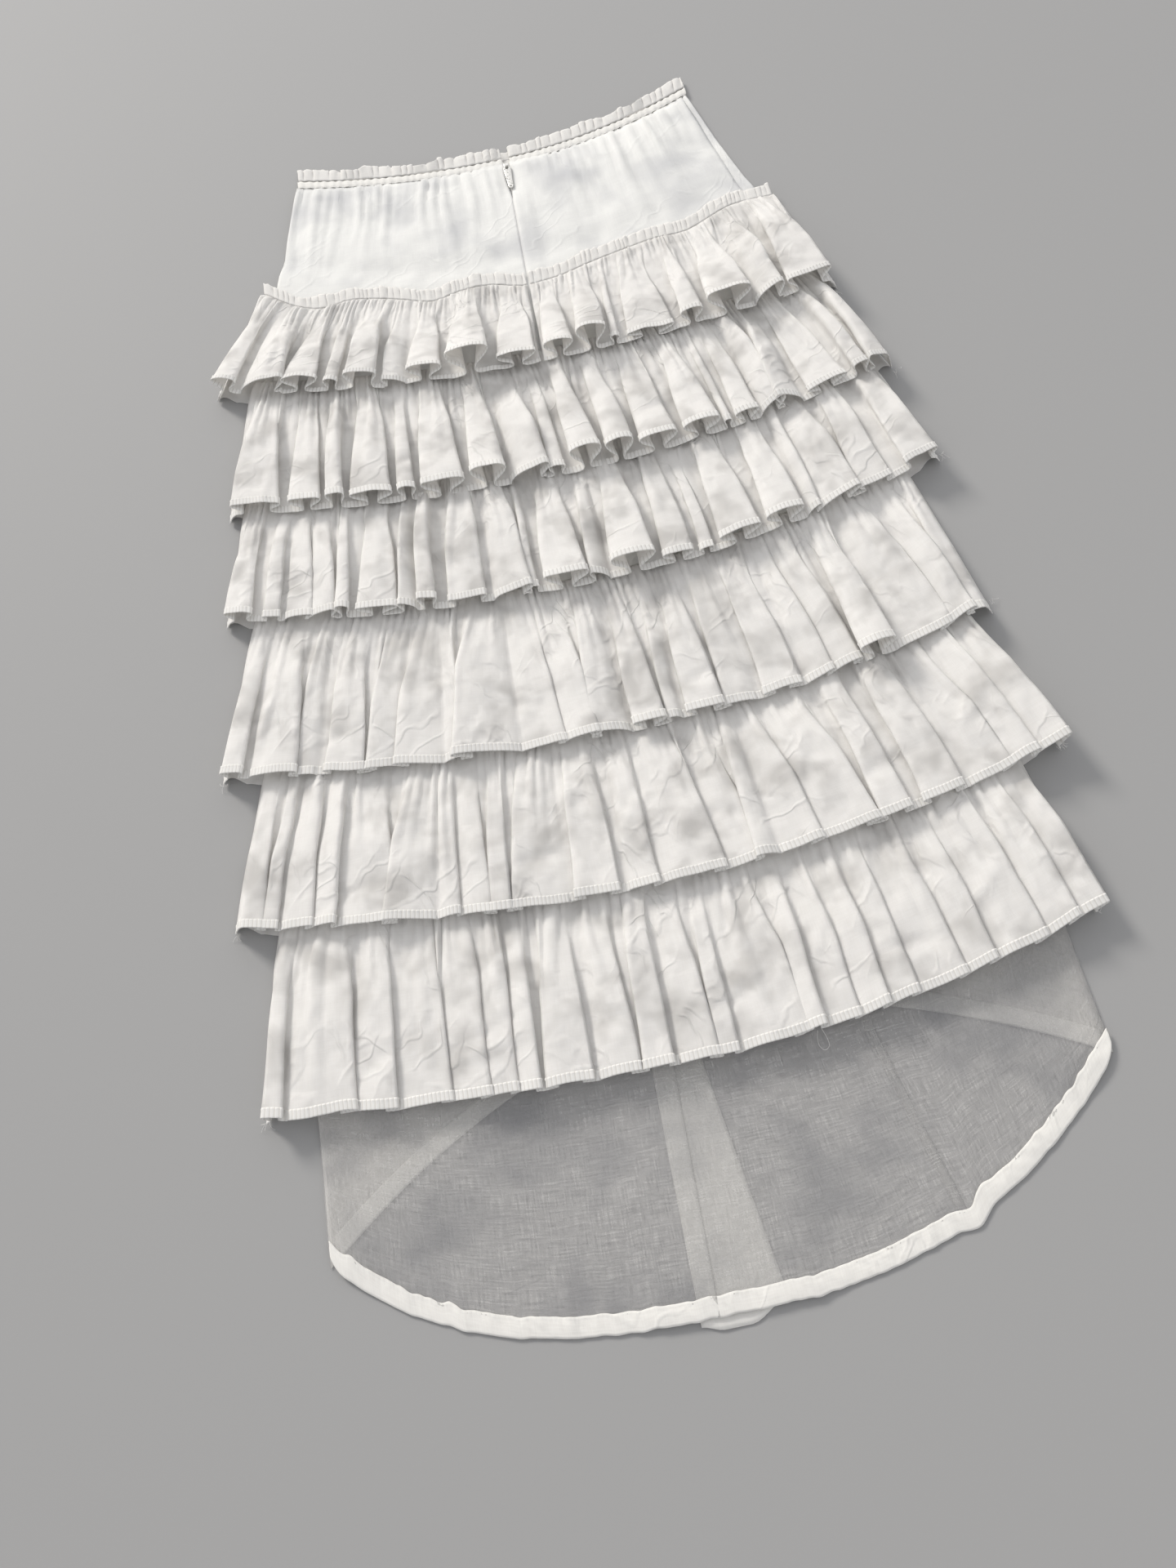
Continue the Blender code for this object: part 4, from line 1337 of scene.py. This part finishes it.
THREAD_RADIUS = 0.08
TWIST_SIZE = 1.111
FRAY_SPACING = 2
fray_draw = random.Random(91)
CORNERS = (
    # x, y, z, the way it points in degrees, threads
    (-241, 246, 3.0, 200, 5),
    (218, 200, 3.0, -30, 9),
    (239, 117, 3.0, -40, 4),
    (246, 38, 3.0, -30, 5),
    (-255, -96, 3.0, 210, 4),
    (240, -80, 3.0, -35, 6),
    (-253, -197, 3.0, 215, 3),
    (247, -186, 3.0, -30, 7),
    (-242, -309, 3.0, 215, 5),
    (233, -285, 3.0, -40, 4),
)
TAIL = (
    # x, y, z of a loop of thread below the last ruffle
    (64, -322, 9.0),
    (62, -328, 6.0),
    (65, -333, 5.0),
    (69, -331, 5.0),
    (68, -325, 6.5),
    (66, -321, 9.0),
)


def spun_cotton():
    """Spun cotton thread: matt and white, a little uneven along its length."""
    made, tree = blank_material("spun_cotton_thread")
    place = node(tree, "ShaderNodeTexCoord").outputs["Object"]
    twist = node(tree, "ShaderNodeTexNoise", {"Vector": place, "Scale": cells(TWIST_SIZE), "Detail": 1.0})
    tint = node(tree, "ShaderNodeMix", {
        0: twist.outputs["Fac"], 6: linear("#E4E2DE"), 7: linear("#FAF9F6")}, data_type="RGBA").outputs[2]
    thread = node(tree, "ShaderNodeBsdfPrincipled", {
        "Base Color": tint, "Roughness": 0.85, "Sheen Weight": 0.2})
    node(tree, "ShaderNodeOutputMaterial", {"Surface": thread.outputs["BSDF"]})
    return made


def frayed_threads():
    runs = [TAIL]
    for x, y, z in raw_edge[::FRAY_SPACING]:
        heading = math.radians(90 + fray_draw.gauss(0, 38))
        reach = fray_draw.uniform(0.4, 1.6) + (fray_draw.random() > 0.9) * fray_draw.uniform(1.0, 3.5)
        curl = fray_draw.uniform(-0.7, 0.7)
        runs.append([(
            x + reach * s * math.cos(heading + curl * s),
            y + reach * s * math.sin(heading + curl * s),
            max(z - 0.8 * reach * s * s, 0.4),
        ) for s in (0.0, 0.35, 0.7, 1.0)])
    for x, y, z, way, count in CORNERS:
        for _ in range(count):
            heading = math.radians(way + fray_draw.gauss(0, 30))
            reach = fray_draw.uniform(2.0, 6.5)
            curl = fray_draw.uniform(-1.2, 1.2)
            away = fray_draw.uniform(-3.0, 3.0)
            runs.append([(
                x + away + reach * s * math.cos(heading + curl * s),
                y + away * 0.4 + reach * s * math.sin(heading + curl * s),
                max(z * (1 - s), 0.3),
            ) for s in (0.0, 0.25, 0.5, 0.75, 1.0)])
    strands = bpy.data.curves.new("frayed_threads", "CURVE")
    strands.dimensions = "3D"
    strands.bevel_depth = THREAD_RADIUS * MM
    strands.bevel_resolution = 0
    for run in runs:
        spline = strands.splines.new("NURBS")
        spline.points.add(len(run) - 1)
        spline.order_u = 3
        spline.use_endpoint_u = True
        spline.resolution_u = 3
        for point, place in zip(spline.points, run):
            point.co = (*(Vector(place) * MM), 1.0)
    strands.materials.append(spun_cotton())
    made = bpy.data.objects.new("frayed_threads", bpy.data.meshes.new_from_object(
        bpy.data.objects.new("strands", strands)))
    scene.collection.objects.link(made)
    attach(made, "skirt")


frayed_threads()

# Zip: an invisible zip in white, set under the centre back edges. Its tapes are woven polyester, and its
# slider and drop-shaped pull are enamelled zinc, worn to bare metal at the rims.

TAPE_RIB = 1.428
TAPE_RELIEF = 0.1
SCUFF_SIZE = 1.667
# A wave texture repeats 20 / tau times in each of its cells
WAVES_A_CELL = 20 / math.tau


def woven_tape():
    """Woven polyester tape: smooth and close, with a fine rib across."""
    made, tree = blank_material("woven_polyester_tape")
    place = node(tree, "ShaderNodeTexCoord").outputs["Object"]
    ribs = {"Vector": place, "Scale": cells(TAPE_RIB * WAVES_A_CELL), "Distortion": 0.5}
    rib = node(tree, "ShaderNodeTexWave", ribs, bands_direction="Y").outputs["Fac"]
    tint = node(tree, "ShaderNodeMix", {
        0: rib, 6: linear("#E4E4E2"), 7: linear("#F4F4F2")}, data_type="RGBA").outputs[2]
    relief = node(tree, "ShaderNodeBump", {"Strength": 0.2, "Distance": TAPE_RELIEF * MM, "Height": rib})
    tape = node(tree, "ShaderNodeBsdfPrincipled", {
        "Base Color": tint, "Roughness": 0.6, "Normal": relief.outputs["Normal"]})
    node(tree, "ShaderNodeOutputMaterial", {"Surface": tape.outputs["BSDF"]})
    return made


def enamelled_zinc():
    """Cast zinc under thin white enamel: glossy, with grey metal where handling has worn it."""
    made, tree = blank_material("enamelled_zinc")
    place = node(tree, "ShaderNodeTexCoord").outputs["Object"]
    scuffs = node(tree, "ShaderNodeTexNoise", {"Vector": place, "Scale": cells(SCUFF_SIZE), "Detail": 3.0})
    worn = node(tree, "ShaderNodeMapRange", {
        "Value": scuffs.outputs["Fac"], "From Min": 0.55, "From Max": 0.62}).outputs["Result"]
    tint = node(tree, "ShaderNodeMix", {
        0: worn, 6: linear("#D9D8D4"), 7: linear("#9A9994")}, data_type="RGBA").outputs[2]
    zinc = node(tree, "ShaderNodeBsdfPrincipled", {"Base Color": tint, "Metallic": 0.35, "Roughness": 0.3})
    node(tree, "ShaderNodeOutputMaterial", {"Surface": zinc.outputs["BSDF"]})
    return made


tape_finish = woven_tape()
enamel = enamelled_zinc()
for part in ("zip_tape_left", "zip_tape_right"):
    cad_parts[part].material_slots[0].material = tape_finish
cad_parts["zip_slider"].material_slots[0].material = enamel

PULL_HINGE = (5.922, 404.0)
PULL_LENGTH = 27.0
PULL_THICKNESS = 1.0
PULL_UNDERSIDE = 4.1
PULL_HALF_WIDTHS = (
    # share of the length from the hinge, half width
    (0.00, 1.9),
    (0.10, 2.8),
    (0.25, 3.1),
    (0.55, 2.4),
    (0.80, 2.1),
    (0.92, 2.0),
    (1.00, 1.2),
)
PULL_TOP = 0.5
PULL_HOLES = (
    # distance below the hinge, half width, half length: the eye on the slider's bridge, and a small hole
    (2.4, 1.2, 1.9),
    (24.3, 0.75, 0.75),
)


def zip_pull():
    """The drop-shaped pull: a flat casting with an eye for the slider's bridge and a hole near its tip."""
    drop = bmesh.new()
    rim = bmesh.ops.create_circle(drop, cap_ends=False, segments=48, radius=1.0)["verts"]
    for point in rim:
        share = 0.5 - 0.5 * point.co.y
        side = math.copysign(min(1.0, abs(point.co.x) * 2.6), point.co.x)
        point.co = (read(PULL_HALF_WIDTHS, share) * side, PULL_TOP - share * PULL_LENGTH, 0.0)
    for below, half_wide, half_long in PULL_HOLES:
        hole = bmesh.ops.create_circle(drop, cap_ends=False, segments=24, radius=1.0)["verts"]
        bmesh.ops.scale(drop, verts=hole, vec=(half_wide, half_long, 1.0))
        bmesh.ops.translate(drop, verts=hole, vec=(0.0, -below, 0.0))
    face = bmesh.ops.triangle_fill(drop, use_beauty=True, use_dissolve=False, edges=drop.edges[:])
    faces = [g for g in face["geom"] if isinstance(g, bmesh.types.BMFace)]
    raised_faces = bmesh.ops.extrude_face_region(drop, geom=faces)["geom"]
    lifted = [g for g in raised_faces if isinstance(g, bmesh.types.BMVert)]
    bmesh.ops.translate(drop, verts=lifted, vec=(0.0, 0.0, PULL_THICKNESS))
    bmesh.ops.recalc_face_normals(drop, faces=drop.faces)
    sharp = [e for e in drop.edges if len(e.link_faces) == 2 and e.calc_face_angle() > 1.2]
    bmesh.ops.bevel(drop, geom=sharp, offset=0.28, segments=3, profile=0.5, affect="EDGES", material=-1)
    bmesh.ops.translate(drop, verts=drop.verts, vec=(PULL_HINGE[0], PULL_HINGE[1], PULL_UNDERSIDE))
    bmesh.ops.scale(drop, verts=drop.verts, vec=(MM, MM, MM))
    for face in drop.faces:
        face.smooth = True
    mesh = bpy.data.meshes.new("cast_zip_pull")
    drop.to_mesh(mesh)
    drop.free()
    mesh.materials.append(enamel)
    made = bpy.data.objects.new("cast_zip_pull", mesh)
    scene.collection.objects.link(made)
    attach(made, "pull")
    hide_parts("zip_pull")


zip_pull()
